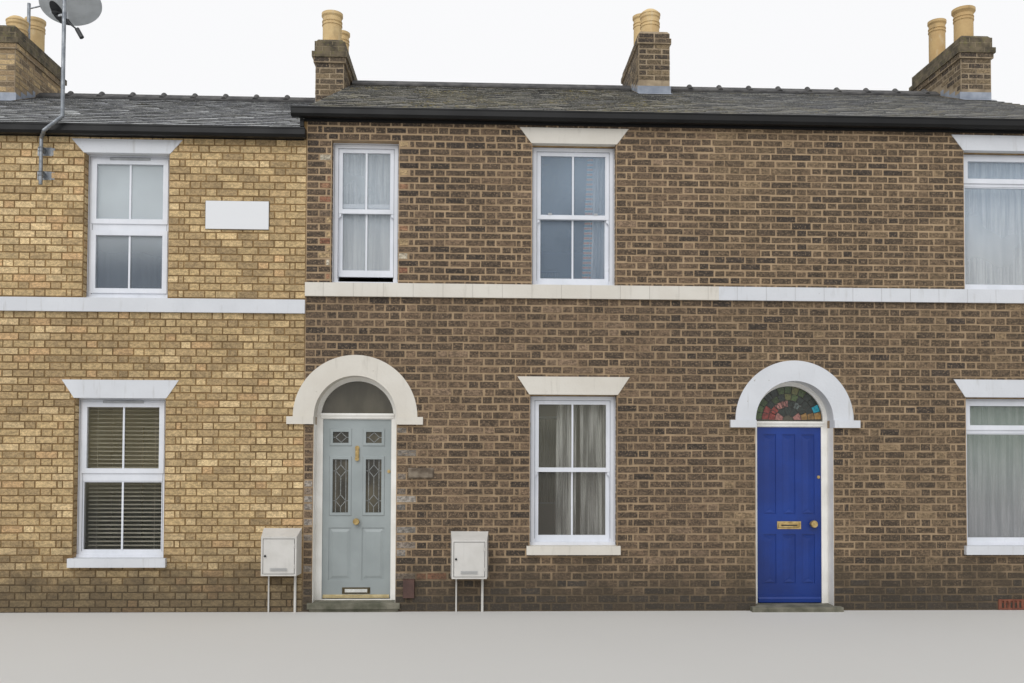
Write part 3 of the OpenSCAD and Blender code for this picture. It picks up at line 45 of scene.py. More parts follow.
print("frame loaded:", len(nodes), "nodes")

# Lines of the row along x, depths of its faces, reveals and eaves, and heights of the impost blocks and of
# the tops of the string courses, in metres
row = {"left": -7.205, "joint": -2.130, "roofJoint": -2.160, "seam": 2.370, "right": 7.205, "face": 3.740,
       "inner": 3.515, "reveal": 0.100, "doorReveal": 0.172, "eaves": 3.800, "impost": 0.083,
       "stringTop": 3.548, "buffStringTop": 3.358}

# Each window as middle, width, bottom and top; the narrow one has no twin at the rear
windows = {"buffLow": (-4.085, 0.954, 0.577, 2.285), "buffHigh": (-4.052, 0.898, 3.358, 4.930),
           "middleLow": (0.785, 0.950, 0.708, 2.352), "middleHigh": (0.785, 0.923, 3.548, 5.112),
           "narrowHigh": (-1.497, 0.726, 3.548, 5.112), "rightLow": (5.622, 0.940, 0.708, 2.352),
           "rightHigh": (5.622, 0.940, 3.548, 5.112)}
twins = [key for key in windows if key != "narrowHigh"]

# Each front doorway as middle, width, threshold and spring of its arch
doorways = {"left": (-6.160, 0.888, 0.097, 2.098), "grey": (-1.582, 0.888, 0.097, 2.098),
            "blue": (3.225, 0.866, 0.050, 2.085)}
archBand = 0.225
rearDoor = {"shift": 0.160, "head": 2.100}

# Each roof as its ridge and its fall over a metre
roofs = {"left": (6.930, 0.45132), "brown": (7.205, 0.46316)}

# Each chimney as its left side, width and top
stackDepth = 1.460
stacks = [(-7.205, 0.450, 7.630), (-2.580, 0.400, 7.520), (2.030, 0.450, 7.735), (6.755, 0.450, 7.775)]


# Linear colour of a red, green, blue triple given from 0 to 255
def tone(red, green, blue):
    parts = [c / 255 for c in (red, green, blue)]
    return (*(c / 12.92 if c <= 0.04045 else ((c + 0.055) / 1.055) ** 2.4 for c in parts), 1.0)


# The same for several triples, as the rows of an array
def tones(triples):
    return np.array([tone(*c)[:3] for c in triples])


# New object in the scene for a camera, a lamp or a mesh
def placed(name, data):
    thing = bpy.data.objects.new(name, data)
    bpy.context.scene.collection.objects.link(thing)
    return thing


# Camera where the photo was taken: place in metres, turns in radians, focal length and shift in pixels
camera = {"place": (-0.27, -13.74, 1.79), "right": 0.038322, "up": 0.026442, "roll": 0.0040629,
          "focal": 920.0, "shift": 80.07, "width": 1024}


# Axes of the view: forward from the two turns, sideways level, both turned by the roll
def addCamera():
    data = bpy.data.cameras.new("camera")
    data.sensor_width = 36.0
    data.lens = data.sensor_width * camera["focal"] / camera["width"]
    data.shift_y = camera["shift"] / camera["width"]
    thing = placed("camera", data)
    a, b, r = camera["right"], camera["up"], camera["roll"]
    forward = Vector((math.sin(a) * math.cos(b), math.cos(a) * math.cos(b), math.sin(b)))
    level = Vector((math.cos(a), -math.sin(a), 0))
    upright = level.cross(forward)
    side = level * math.cos(r) + upright * math.sin(r)
    top = upright * math.cos(r) - level * math.sin(r)
    turned = Matrix((side, top, -forward)).transposed().to_4x4()
    thing.matrix_world = Matrix.Translation(camera["place"]) @ turned
    bpy.context.scene.camera = thing


addCamera()

# Soft daylight: an even sky and one broad lamp from the upper left
light = {"sky": 0.66, "skyColour": (0.95, 0.97, 1.0), "backdrop": (0.955, 0.958, 0.972), "sun": 1.70,
         "sunWidth": 50, "sunFrom": (-0.35, -1.0, 0.95)}


# Two backgrounds, one that lights and one that camera, glossy and transmitted rays see, and the lamp
def addLight():
    world = bpy.data.worlds.new("sky")
    bpy.context.scene.world = world
    world.use_nodes = True
    tree = world.node_tree
    tree.nodes.clear()
    out = tree.nodes.new("ShaderNodeOutputWorld")
    both = tree.nodes.new("ShaderNodeMixShader")
    for socket, colour, strength in ((1, light["skyColour"], light["sky"]), (2, light["backdrop"], 1.0)):
        glow = tree.nodes.new("ShaderNodeBackground")
        glow.inputs[0].default_value = (*colour, 1)
        glow.inputs[1].default_value = strength
        tree.links.new(glow.outputs[0], both.inputs[socket])
    rays = tree.nodes.new("ShaderNodeLightPath")
    seen = rays.outputs["Is Camera Ray"]
    for ray in ("Is Glossy Ray", "Is Transmission Ray"):
        most = tree.nodes.new("ShaderNodeMath")
        most.operation = "MAXIMUM"
        tree.links.new(seen, most.inputs[0])
        tree.links.new(rays.outputs[ray], most.inputs[1])
        seen = most.outputs[0]
    tree.links.new(seen, both.inputs[0])
    tree.links.new(both.outputs[0], out.inputs[0])
    lamp = bpy.data.lights.new("sun", "SUN")
    lamp.energy = light["sun"]
    lamp.angle = math.radians(light["sunWidth"])
    thing = placed("sun", lamp)
    thing.rotation_euler = Vector(light["sunFrom"]).to_track_quat("Z", "Y").to_euler()
    bpy.context.scene.view_settings.view_transform = "Standard"


addLight()
print("camera and light set")


# A socket whose arithmetic adds Math nodes
class Wire:
    def __init__(self, paint, socket):
        self.paint = paint
        self.socket = socket

    def __rsub__(self, other):
        return self.paint.maths("SUBTRACT", other, self)


# Arithmetic that adds one kind of Math node: the wire first, then the other value
def operator(kind):
    return lambda wire, other: wire.paint.maths(kind, wire, other)


Wire.__add__ = Wire.__radd__ = operator("ADD")
Wire.__mul__ = Wire.__rmul__ = operator("MULTIPLY")
Wire.__sub__ = operator("SUBTRACT")
Wire.__gt__ = operator("GREATER_THAN")
Wire.__lt__ = operator("LESS_THAN")


# One material: its nodes are added by one method, and its surface is a Principled shader
class Paint:
    def __init__(self, name, **constants):
        self.material = bpy.data.materials.new(name)
        self.material.use_nodes = True
        self.tree = self.material.node_tree
        self.shader = self.tree.nodes["Principled BSDF"]
        for key, value in constants.items():
            self.shader.inputs[key.replace("_", " ")].default_value = value
        self.place = self.add("ShaderNodeTexCoord", {}, {}, "Object")

    def add(self, kind, settings, values, out=0):
        node = self.tree.nodes.new(kind)
        for key, value in settings.items():
            setattr(node, key, value)
        for key, value in values.items():
            if isinstance(value, Wire):
                self.tree.links.new(value.socket, node.inputs[key])
            else:
                node.inputs[key].default_value = value
        return Wire(self, node.outputs[out])

    def maths(self, kind, first, second=0.0):
        return self.add("ShaderNodeMath", {"operation": kind}, {0: first, 1: second})

    def axis(self, letter):
        return self.add("ShaderNodeSeparateXYZ", {}, {0: self.place}, "XYZ".index(letter))

    def ease(self, value, low, high):
        settings = {"interpolation_type": "SMOOTHSTEP"}
        return self.add("ShaderNodeMapRange", settings, {0: value, 1: low, 2: high})

    # Colours are wires or triples from 0 to 255
    def mix(self, part, first, second):
        first, second = (tone(*c) if isinstance(c, tuple) else c for c in (first, second))
        return self.add("ShaderNodeMix", {"data_type": "RGBA"}, {0: part, 6: first, 7: second}, 2)

    def dim(self, colour, part):
        return self.add("ShaderNodeVectorMath", {"operation": "SCALE"}, {0: colour, 3: part})

    def noise(self, scale, detail=3.0, stretch=(1, 1, 1), shift=(0, 0, 0), rough=0.55):
        sizes = tuple(scale * s for s in stretch)
        spot = self.add("ShaderNodeMapping", {}, {0: self.place, 1: shift, 3: sizes})
        values = {"Vector": spot, "Scale": 1.0, "Detail": detail, "Roughness": rough}
        return self.add("ShaderNodeTexNoise", {}, values)

    # Share that rises where the noise goes from low to high
    def patches(self, scale, detail, low, high, *stretch, **more):
        return self.ease(self.noise(scale, detail, *stretch, **more), low, high)

    def blotch(self, scale, dark, light, low=0.3, high=0.7):
        return self.mix(self.patches(scale, 4, low, high), dark, light)

    # Share that fades with height, with an uneven edge
    def nearGround(self, uneven, low, high):
        return self.ease(self.axis("Z") * -1.0 + uneven, low, high)

    def own(self, name):
        return self.add("ShaderNodeAttribute", {"attribute_name": name}, {}, "Color")

    def coat(self, colour=None, height=None, depth=0.002, **more):
        if colour is not None:
            more["Base Color"] = colour
        if height is not None:
            values = {"Strength": 1.0, "Distance": depth, "Height": height}
            more["Normal"] = self.add("ShaderNodeBump", {}, values)
        for key, value in more.items():
            socket = self.shader.inputs[key]
            if isinstance(value, Wire):
                self.tree.links.new(value.socket, socket)
            else:
                socket.default_value = value
        return self.material


# Mesh from corner points and faces, both as arrays; colours are one linear triple a face
def piece(name, points, faces, material, body="root", colours=None, smooth=False, slot=None):
    mesh = bpy.data.meshes.new(name)
    points = np.asarray(points, dtype=np.float32).reshape(-1, 3)
    corners = np.asarray(faces, dtype=np.int32)
    count, sides = corners.shape
    mesh.vertices.add(len(points))
    mesh.vertices.foreach_set("co", points.ravel())
    mesh.loops.add(count * sides)
    mesh.loops.foreach_set("vertex_index", corners.ravel())
    mesh.polygons.add(count)
    mesh.polygons.foreach_set("loop_start", (np.arange(count) * sides).astype(np.int32))
    mesh.polygons.foreach_set("loop_total", np.full(count, sides, dtype=np.int32))
    mesh.update(calc_edges=True)
    mesh.validate()
    mesh.polygons.foreach_set("use_smooth", np.full(count, smooth))
    if colours is not None:
        shade = mesh.attributes.new("shade", "FLOAT_COLOR", "FACE")
        full = np.concatenate([colours, np.ones((len(colours), 1))], axis=1)
        shade.data.foreach_set("color", full.astype(np.float32).ravel())
    mesh.materials.append(material)
    thing = placed(name, mesh)
    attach(thing, body)
    return thing


# Joins several pairs of points and faces into one
def joined(parts):
    starts = np.cumsum([0] + [len(p) for p, _ in parts])
    faces = np.concatenate([f + s for (_, f), s in zip(parts, starts)])
    return np.concatenate([p for p, _ in parts]), faces


# The same shapes turned to the rear: y changes sign, and each face is read backwards
def mirrored(mesh):
    points, faces = mesh
    return points * np.array([1, -1, 1]), faces[:, ::-1]


boxFaces = np.array([[4, 5, 6, 7], [0, 1, 5, 4], [1, 2, 6, 5], [2, 3, 7, 6], [3, 0, 4, 7], [3, 2, 1, 0]])


# Mesh of closed blocks, from an array of their eight corners: four at the back, then four at the front
def closed(corners):
    faces = boxFaces[None] + 8 * np.arange(len(corners))[:, None, None]
    return corners.reshape(-1, 3), faces.reshape(-1, 4)


# Thin blocks on a plane: every block is a rectangle (u0, u1, v0, v1) along two directions, its back at
# depth low and its front corners at the heights high, drawn in by inset; out is across times up.
# Where tops is given, the two upper corners have heights of their own
def blocks(origin, across, up, rects, low, high, inset, tops=None):
    across, up = np.array(across, float), np.array(up, float)
    out = np.cross(across, up)
    u = rects[:, [0, 1, 1, 0]]
    v = rects[:, [2, 2, 3, 3]].copy()
    if tops is not None:
        v[:, 2:] = tops[:, ::-1]
    turnU = np.array([1, -1, -1, 1]) * inset
    turnV = np.array([1, 1, -1, -1]) * inset
    back = (u[..., None] * across + v[..., None] * up + low * out)
    front = ((u + turnU)[..., None] * across + (v + turnV)[..., None] * up + high[..., None] * out)
    return closed(np.concatenate([back, front], axis=1) + np.array(origin, float))


# Straight boxes, each from its lowest and its highest corner
def boxes(spans):
    spans = np.array(spans, float)
    corners = ([0, 3, 3, 0, 0, 3, 3, 0], [4, 4, 4, 4, 1, 1, 1, 1], [2, 2, 5, 5, 2, 2, 5, 5])
    return closed(np.stack([spans[:, c] for c in corners], axis=-1))


# Flat bars seen from the front, each from one (x, z) point to another, of one width and depth
def bars(lines, width, front, back):
    lines = np.array(lines, float)
    a, b = lines[:, :2], lines[:, 2:]
    along = b - a
    side = np.column_stack([-along[:, 1], along[:, 0]]) / np.linalg.norm(along, axis=1)[:, None] * width / 2
    flat = np.stack([a - side, b - side, b + side, a + side], axis=1)
    points = np.empty((len(lines), 8, 3))
    points[..., [0, 2]] = np.concatenate([flat, flat], axis=1)
    points[:, :4, 1], points[:, 4:, 1] = back, front
    return closed(points)


# Round rod of triangles along a list of points: a ring of corners at each, square to the path, with closed
# ends
def rod(path, radius, sides=10):
    path = np.array(path, float)
    ahead = np.gradient(path, axis=0)
    ahead /= np.linalg.norm(ahead, axis=1)[:, None]
    helper = np.where(np.abs(ahead[:, 2:3]) > 0.9, [[1.0, 0, 0]], [[0, 0, 1.0]])
    first = np.cross(helper, ahead)
    first /= np.linalg.norm(first, axis=1)[:, None]
    second = np.cross(ahead, first)
    turn = np.linspace(0, 2 * np.pi, sides, endpoint=False)
    ring = np.cos(turn)[None, :, None] * first[:, None] + np.sin(turn)[None, :, None] * second[:, None]
    points = np.concatenate([(path[:, None] + radius * ring).reshape(-1, 3), path[[0, -1]]])
    i = np.arange(len(path) - 1)[:, None] * sides
    j, k = np.arange(sides), (np.arange(sides) + 1) % sides
    wall = np.stack([i + j, i + k, i + sides + k, i + sides + j], axis=-1).reshape(-1, 4)
    last = (len(path) - 1) * sides
    centre = np.full(sides, len(path) * sides)
    caps = np.concatenate([np.column_stack([k, j, centre]),
                           np.column_stack([last + j, last + k, centre + 1])])
    return points, np.concatenate([wall[:, :3], wall[:, [0, 2, 3]], caps])


# Several rods as one piece of triangles
def rodPiece(name, paths, radius, material, body="root", slot=None, sides=10):
    parts = [rod(path, radius, sides) for path in paths]
    return piece(name, *joined(parts), material, body, slot=slot, smooth=True)


# Bricks of each wall: height of a course, joint, how far they stand proud, the bevel of their edges, how
# much mortar is smeared over their sides and how far they wander
brown = {"gauge": 0.0765, "joint": 0.013, "proud": 0.005, "bevel": 0.004, "wander": 0.0024,
         "slot": "brown_brick"}
kinds = {"buff": {"gauge": 0.079, "joint": 0.0095, "proud": 0.006, "bevel": 0.003, "smear": 0.35,
                  "wander": 0.0010, "mortar": (136, 108, 70), "slot": "buff_brick"},
         "middle": {**brown, "smear": 0.5, "mortar": (170, 146, 116)},
         "right": {**brown, "smear": 0.45, "mortar": (166, 142, 112)},
         "stack": {**brown, "gauge": 0.077, "proud": 0.004, "smear": 0.5, "mortar": (158, 142, 118),
                   "slot": "stack_brick"}}

# Height of a course in the lower storey, and lengths of the bricks
lowGauge = {"buff": 0.079, "middle": 0.0829}
brickLengths = {"stretcher": 0.213, "header": 0.102, "closer": 0.046}

# Brick colours of each kind of wall from dark to light, with how often each is used
palette = {
    "buff": [((166, 142, 104), 1.5), ((180, 154, 113), 3), ((190, 164, 120), 4), ((196, 170, 126), 3),
             ((198, 164, 120), 1), ((208, 182, 138), 2.2), ((216, 190, 144), 0.8)],
    "middle": [((62, 53, 45), 0.7), ((80, 67, 54), 3), ((90, 75, 60), 4), ((99, 82, 65), 3.5),
               ((110, 91, 72), 1.5), ((124, 104, 84), 0.4)],
    "right": [((64, 55, 47), 0.7), ((82, 69, 55), 3), ((92, 77, 60), 4), ((102, 85, 66), 3.5),
              ((114, 96, 74), 1.6), ((132, 112, 86), 0.4)],
    "stack": [((70, 61, 52), 2), ((86, 75, 61), 3), ((104, 90, 70), 3), ((130, 113, 87), 2)],
    "buffStack": [((120, 104, 82), 2), ((150, 128, 97), 3), ((176, 152, 113), 3), ((194, 168, 126), 2)],
    "base": [((46, 45, 46), 2), ((58, 56, 56), 3), ((72, 67, 64), 2), ((90, 78, 68), 1)],
    "repair": [((106, 90, 74), 2), ((128, 88, 68), 1), ((146, 110, 84), 1.5), ((170, 146, 110), 3),
               ((190, 180, 160), 1.2)],
    "patch": [((140, 96, 72), 1), ((158, 108, 80), 1)],
    "painted": [((192, 188, 182), 1), ((206, 203, 196), 3)],
}

waveSlopes = dice.normal(0, 1.5, (9, 2))
wavePhases = dice.uniform(0, 2 * np.pi, 9)


# Slow unevenness over a wall: nine cosine waves of random slope and phase, added up
def cloud(u, v):
    return np.cos(u[:, None] * waveSlopes[:, 0] + v[:, None] * waveSlopes[:, 1] + wavePhases).sum(axis=1) / 3


# How much the unevenness leans the draw of a brick's colour, and the spread and limits of its brightness
tint = {"lean": 0.16, "spread": 0.08, "limits": (0.8, 1.25)}


# One linear colour for each brick: its rank in a draw leaned by the slow unevenness picks from the palette
def pick(kind, rects):
    count = len(rects)
    colours = tones([c for c, _ in palette[kind]])
    shares = np.cumsum([w for _, w in palette[kind]])
    lean = cloud(rects[:, 0], rects[:, 2])
    rank = (dice.random(count) + tint["lean"] * lean).argsort().argsort() / max(count, 1)
    chosen = colours[np.searchsorted(shares / shares[-1], rank).clip(0, len(colours) - 1)]
    return chosen * dice.normal(1.0, tint["spread"], (count, 1)).clip(*tint["limits"])


courseStore = {}


# Lengths of the bricks of one course in Flemish bond: every other course has a header and a closer at both
# ends; the number of pairs and one extra brick are chosen for the least misfit, and the rest is made up by
# stretching
def courseRun(length, odd, joint):
    key = (round(length, 3), odd, joint)
    if key in courseStore:
        return courseStore[key]
    s, h, c = (brickLengths[name] for name in ("stretcher", "header", "closer"))
    ends = ([h, c], [c, h]) if odd else ([], [])
    choices = [[s], [h], [c]] + ([[h, s, h], [c, s, h], [h, c], [h, h]] if odd else [[s, c], [s, h], [s, s]])
    for pairs in range(int(length / (s + h)) + 2):
        core = [s] + [h, s] * pairs
        middle = 2 * (pairs // 2) + 1
        for extra in ([], [h], [s]):
            choices.append(ends[0] + core[:middle] + extra + core[middle:] + ends[1])
    misfit = [abs(sum(k) + joint * (len(k) - 1) - length) for k in choices]
    best = np.array(choices[int(np.argmin(misfit))])
    courseStore[key] = best * (length - joint * (len(best) - 1)) / best.sum()
    return courseStore[key]


# Laying: the part of a course that a hole has to meet, the shortest stretch that is laid, how far from
# the ends of a wall a brick has to be to wander, the least height of a brick, the foot of the lowest, the
# depth of the backs and how uneven the faces are
laying = {"met": 0.5, "shortest": 0.03, "fixed": 0.02, "thinnest": 0.015, "foot": 0.002, "back": -0.004,
          "uneven": 0.0008}


# Bricks of a stretch of wall as rectangles, laid course by course from its top down between the holes
def wallRects(kind, u0, u1, v0, v1, holes=(), gauge=None):
    gauge = gauge or kinds[kind]["gauge"]
    joint = kinds[kind]["joint"]
    rects = []
    for course in range(int(math.ceil((v1 - v0) / gauge - 0.2))):
        top = v1 - course * gauge
        low = max(top - gauge + joint, v0)
        stretches = [(u0, u1)]
        for a, b, c, d in holes:
            if min(top, d) - max(low, c) > laying["met"] * (top - low):
                cut = [part for p, q in stretches for part in ((p, min(q, a)), (max(p, b), q))]
                stretches = [(p, q) for p, q in cut if q - p > laying["shortest"]]
        for p, q in stretches:
            lengths = courseRun(q - p - joint, course % 2, joint)
            start = p + joint / 2 + np.concatenate([[0], np.cumsum(lengths + joint)[:-1]])
            rects.append(np.column_stack([start, start + lengths, 0 * start + low, 0 * start + top]))
    rects = np.concatenate(rects)
    left, right, foot, head = rects.T
    inner = (left > u0 + laying["fixed"]) & (right < u1 - laying["fixed"])
    rects += dice.normal(0, kinds[kind]["wander"], rects.shape) * inner[:, None]
    for a, b, c, d in holes:
        hit = (left < b - 0.01) & (right > a + 0.01) & (foot < d) & (head > c)
        isHigh = (foot + head) / 2 > (c + d) / 2
        foot[:] = np.where(hit & isHigh, np.maximum(foot, d), foot)
        head[:] = np.where(hit & ~isHigh, np.minimum(head, c), head)
    foot[:] = np.maximum(foot, laying["foot"])
    return rects[head - foot > laying["thinnest"]]


# Leaves out bricks that lie wholly under an arch
def underArch(rects, middle, z, radius):
    left, right, foot, head = rects.T
    far = np.maximum(np.abs(left - middle), np.abs(right - middle))
    return rects[(far ** 2 + (head - z) ** 2 >= radius ** 2) | (foot <= z - 0.02)]


brickPlanes = {}


# Adds bricks on one upright plane to a named piece; side faces carry some of the mortar's colour, and
# colours are picked here where none are given
def layBricks(name, kind, origin, across, rects, colours=None, proud=None, tops=None):
    look = kinds[kind]
    if colours is None:
        colours = pick(kind, rects)
    proud = look["proud"] if proud is None else proud
    high = proud + dice.normal(0, laying["uneven"], (len(rects), 4))
    high = (high + dice.normal(0, laying["uneven"], (len(rects), 1))).clip(0.001, proud + 0.002)
    bevel = np.minimum(look["bevel"], 0.2 * (rects[:, 3] - rects[:, 2]).min())
    mesh = blocks(origin, across, (0, 0, 1), rects, laying["back"], high, bevel, tops)
    smear = tones([look["mortar"]]) * look["smear"]
    faces = np.repeat(colours[:, None], 6, axis=1)
    faces[:, 1:5] = faces[:, 1:5] * (1 - look["smear"]) + smear
    brickPlanes.setdefault((name, look["slot"]), []).append((mesh, faces.reshape(-1, 3)))


# Runs of brickwork: kind, ends, underside and top of the string course, top, and how dim the lower storey is
fronts = (("buff", row["left"], row["joint"], 3.210, row["buffStringTop"], 5.104, 0.92),
          ("middle", row["joint"], row["right"], 3.400, row["stringTop"], 5.335, 0.97))


# The brown run is laid as one and shared between the middle and the right house at the seam
def shared(kind, rects, seam):
    if kind == "buff":
        return [("buff", rects)]
    isLow = rects[:, :2].mean(axis=1) < seam
    names = ("middle", "right") if seam > 0 else ("right", "middle")
    return [(names[0], rects[isLow]), (names[1], rects[~isLow])]


# Whether bricks end within a short way of a line
def endsAt(rects, u, low, high):
    left, right, foot, head = rects.T
    near = np.minimum(np.abs(left - u), np.abs(right - u)) < 0.03
    return near & (foot > low) & (head < high)


# Mends: share and greatest length of the other bricks beside the narrow window, share and least height of
# the pale ones beside the grey door, and the ends, height and half height of the red patch below it
mends = {"share": 0.8, "longest": 0.14, "pale": 0.45, "paleFrom": 0.3, "patch": (-1.06, -0.55, 0.404, 0.042)}

# Dark bricks near the ground: height and share of each of two bands
baseShares = ((0.16, 0.85), (0.30, 0.2))


# Gives mended bricks their colours; the pale ones beside the door are blended in by a random part
def mendBricks(rects, colours):
    left, right, foot, head = rects.T
    z = (foot + head) / 2
    x, w, low, high = windows["narrowHigh"]
    for side in (x - w / 2, x + w / 2):
        near = endsAt(rects, side, low, high) & (right - left < mends["longest"])
        near &= dice.random(len(z)) < mends["share"]
        colours[near] = pick("repair", rects[near])
    x, w, low, high = doorways["grey"]
    for side in (x - w / 2, x + w / 2):
        pale = endsAt(rects, side, mends["paleFrom"], high) & (dice.random(len(z)) < mends["pale"])
        part = dice.uniform(0.1, 0.4, (pale.sum(), 1))
        colours[pale] = (1 - part) * colours[pale] + part * pick("painted", rects[pale])
    a, b, height, reach = mends["patch"]
    patch = (left > a) & (right < b) & (np.abs(z - height) < reach)
    colours[patch] = pick("patch", rects[patch])


# Front walls below and above the string course, without the bricks that the arches hide
def frontBricks():
    holes = [(x - w / 2, x + w / 2, a, b) for x, w, a, b in windows.values()]
    holes += [(x - w / 2, x + w / 2, 0, spring) for x, w, floor, spring in doorways.values()]
    for run, x0, x1, stringFoot, stringTop, top, lowDim in fronts:
        laid = np.concatenate([wallRects(run, x0, x1, 0.0, stringFoot, holes, lowGauge[run]),
                               wallRects(run, x0, x1, stringTop, top, holes)])
        for x, w, floor, spring in doorways.values():
            laid = underArch(laid, x, spring, w / 2 + archBand)
        for kind, rects in shared(run, laid, row["seam"]):
            colours = pick(kind, rects)
            z = rects[:, 2:].mean(axis=1)
            colours[z < stringFoot] *= lowDim
            if kind != "buff":
                bands = [(z < height) & (dice.random(len(z)) < share) for height, share in baseShares]
                base = bands[0] | bands[1]
                colours[base] = pick("base", rects[base])
            if kind == "middle":
                mendBricks(rects, colours)
            layBricks("bricks_" + kind, kind, (0, -row["face"], 0), (1, 0, 0), rects, colours)


# Sides of the doorways that are painted, so that no bricks show there
painted = (("grey", -1), ("grey", 1), ("blue", 1))


# Bricks on the sides of the openings, seen where the frames stand back; those of a painted side are drawn
# and then left out
def jambBricks():
    jambs = [(key, "buff" if "buff" in key else "right" if "right" in key else "middle", row["reveal"], 0.0)
             for key in windows]
    jambs += [(key, kind, row["doorReveal"], row["impost"])
              for key, kind in zip(doorways, ("buff", "middle", "right"))]
    for key, kind, deep, cut in jambs:
        x, w, low, high = {**windows, **doorways}[key]
        for side in (-1, 1):
            rects = wallRects(kind, 0.0, deep, low, high - cut)
            if (key, side) not in painted:
                origin = (x + side * w / 2, -row["face"] + deep * (side > 0), 0)
                layBricks("bricks_" + kind, kind, origin, (0, -side, 0), rects, proud=0.002)


# Rear walls, seen from behind, so x changes sign
def rearBricks():
    holes = [(-x - w / 2, -x + w / 2, a, b) for x, w, a, b in (windows[key] for key in twins)]
    for x, w, floor, spring in doorways.values():
        middle = -x - rearDoor["shift"]
        holes.append((middle - w / 2, middle + w / 2, 0, rearDoor["head"]))
    for run, x0, x1, stringFoot, stringTop, top, lowDim in fronts:
        laid = wallRects(run, -x1, -x0, 0.0, top, holes)
        for kind, rects in shared(run, laid, -row["seam"]):
            layBricks("rear_bricks_" + kind, kind, (0, row["face"], 0), (-1, 0, 0), rects)


# End walls as name, kind of brick, x, side and roof, and how far below the slope their bricks stop
endWalls = (("left", "buff", row["left"], -1, "left"), ("right", "right", row["right"], 1, "brown"))
verge = {"top": 0.14, "slope": 0.135, "least": 0.004}


# Plain end walls: the upper corners of each brick are cut to the slope of the roof
def endBricks():
    for name, kind, x, side, roof in endWalls:
        ridge, fall = roofs[roof]
        rects = wallRects(kind, -row["face"], row["face"], 0.0, ridge - verge["top"])
        limit = ridge - verge["slope"] - fall * np.abs(rects[:, :2])
        keep = limit.min(axis=1) > rects[:, 2] + verge["least"]
        rects, limit = rects[keep], limit[keep]
        tops = np.minimum(rects[:, 3:4], limit)
        layBricks("end_bricks_" + name, kind, (x, 0, 0), (0, side, 0), rects, proud=0.004, tops=tops)


# Leadwork on the stacks: which have an apron at the front and back, which have steps on their left and
# right sides, and how far up it covers the bricks
leadwork = {"aprons": (0, 2, 3), "left": (1, 2, 3), "right": (0, 2), "up": 0.112}


# Chimneys: height of a head, how far the single course below it stands out, the number of the stack with
# a plain head and how far its course stands out, and how far shafts go down into the slope
heads = {"high": 0.155, "out": 0.026, "plain": 2, "plainOut": 0.020, "sunk": 0.2}


# Shafts of the chimneys and the single course that stands out a little below each head
def stackBricks():
    course = kinds["stack"]["gauge"]
    half = stackDepth / 2
    for number, (x, w, top) in enumerate(stacks):
        ridge, fall = roofs["left" if number < 2 else "brown"]
        foot = ridge - fall * half - 0.02
        isPlain = number == heads["plain"]
        out = heads["plainOut"] if isPlain else heads["out"]
        neck = top - (0 if isPlain else heads["high"]) - 2 * course
        bands = [(foot, neck, 0.0), (neck, neck + course, out)]
        if isPlain:
            bands.append((top - course, top, 0.0))
        for low, high, reach in bands:
            sides = (((0, -half - reach, 0), (1, 0, 0), x - reach, x + w + reach),
                     ((0, half + reach, 0), (-1, 0, 0), -x - w - reach, -x + reach),
                     ((x - reach, 0, 0), (0, -1, 0), -half - reach, half + reach),
                     ((x + w + reach, 0, 0), (0, 1, 0), -half - reach, half + reach))
            for face, (origin, across, u0, u1) in enumerate(sides):
                rects = wallRects("stack", u0, u1, low, high)
                isLeaded = number in leadwork[("aprons", "aprons", "left", "right")[face]]
                away = half if face < 2 else np.abs(rects[:, :2]).mean(axis=1)
                lift = leadwork["up"] * isLeaded - heads["sunk"] * (not isLeaded)
                rects = rects[rects[:, 2] > ridge - fall * away + lift]
                layBricks("stack_bricks_%d" % (number + 1), "stack", origin, across, rects,
                          pick("buffStack" if number == 0 else "stack", rects))


# Lays all bricks, then joins the planes of each name into one piece
def buildBricks():
    frontBricks()
    jambBricks()
    rearBricks()
    endBricks()
    stackBricks()
    for (name, slot), parts in brickPlanes.items():
        points, faces = joined([mesh for mesh, _ in parts])
        piece(name, points, faces, brickPaint, colours=np.concatenate([c for _, c in parts]), slot=slot)
        print(name, len(faces) // 6, "bricks")


# Fired clay with streaks, worn faces and dirt that gathers near the ground
def makeBrickPaint():
    p = Paint("fired_clay", Roughness=0.9)
    base = p.own("shade")
    streak = p.patches(30, 4, 0.36, 0.64, (1, 1, 1.6), rough=0.7)
    isBuff = p.axis("X") < row["joint"]
    colour = p.mix(isBuff * 0.4, p.mix(streak, p.dim(base, 0.52), p.dim(base, 1.42)), base)
    colour = p.mix(p.patches(75, 2, 0.54, 0.66) * (0.65 - isBuff * 0.2), colour, p.dim(base, 0.36))
    colour = p.mix(p.patches(55, 3, 0.54, 0.66, shift=(4, 1, 7)) * 0.55, colour, (166, 142, 114))
    colour = p.mix(p.patches(5, 4, 0.56, 0.72, shift=(8, 3, 1)) * 0.35, colour, p.dim(base, 0.5))
    colour = p.mix(p.nearGround(p.noise(3.5, 3) * 0.9, -0.45, 0.35) * 0.74, colour, (62, 54, 43))
    colour = p.mix(p.patches(0.9, 3, 0.35, 0.7, shift=(3, 5, 2)) * 0.20, colour, p.dim(colour, 0.7))
    return p.coat(colour, height=p.noise(120, 3) + 0.8 * p.noise(38, 3), depth=0.003)


# Mortar outside and pale plaster on the faces that look into the rooms
def makeMortar(name, light, dark):
    p = Paint(name, Roughness=0.95)
    base = p.blotch(5, dark, light)
    damp = (p.axis("Z") < 3.4) * p.patches(2.2, 4, 0.25, 0.6, shift=(6, 1, 2))
    base = p.mix(damp * 0.45, base, p.dim(base, 0.55))
    base = p.mix(p.nearGround(p.noise(3.5, 3) * 0.9, -0.3, 0.4) * 0.8, base, (60, 54, 44))
    deep = p.maths("ABSOLUTE", p.axis("Y")) < row["inner"] + 0.007
    wide = p.maths("ABSOLUTE", p.axis("X")) < row["right"] - 0.025
    base = p.mix(deep * wide, base, (206, 200, 188))
    return p.coat(base, height=p.noise(150, 3), depth=0.002)


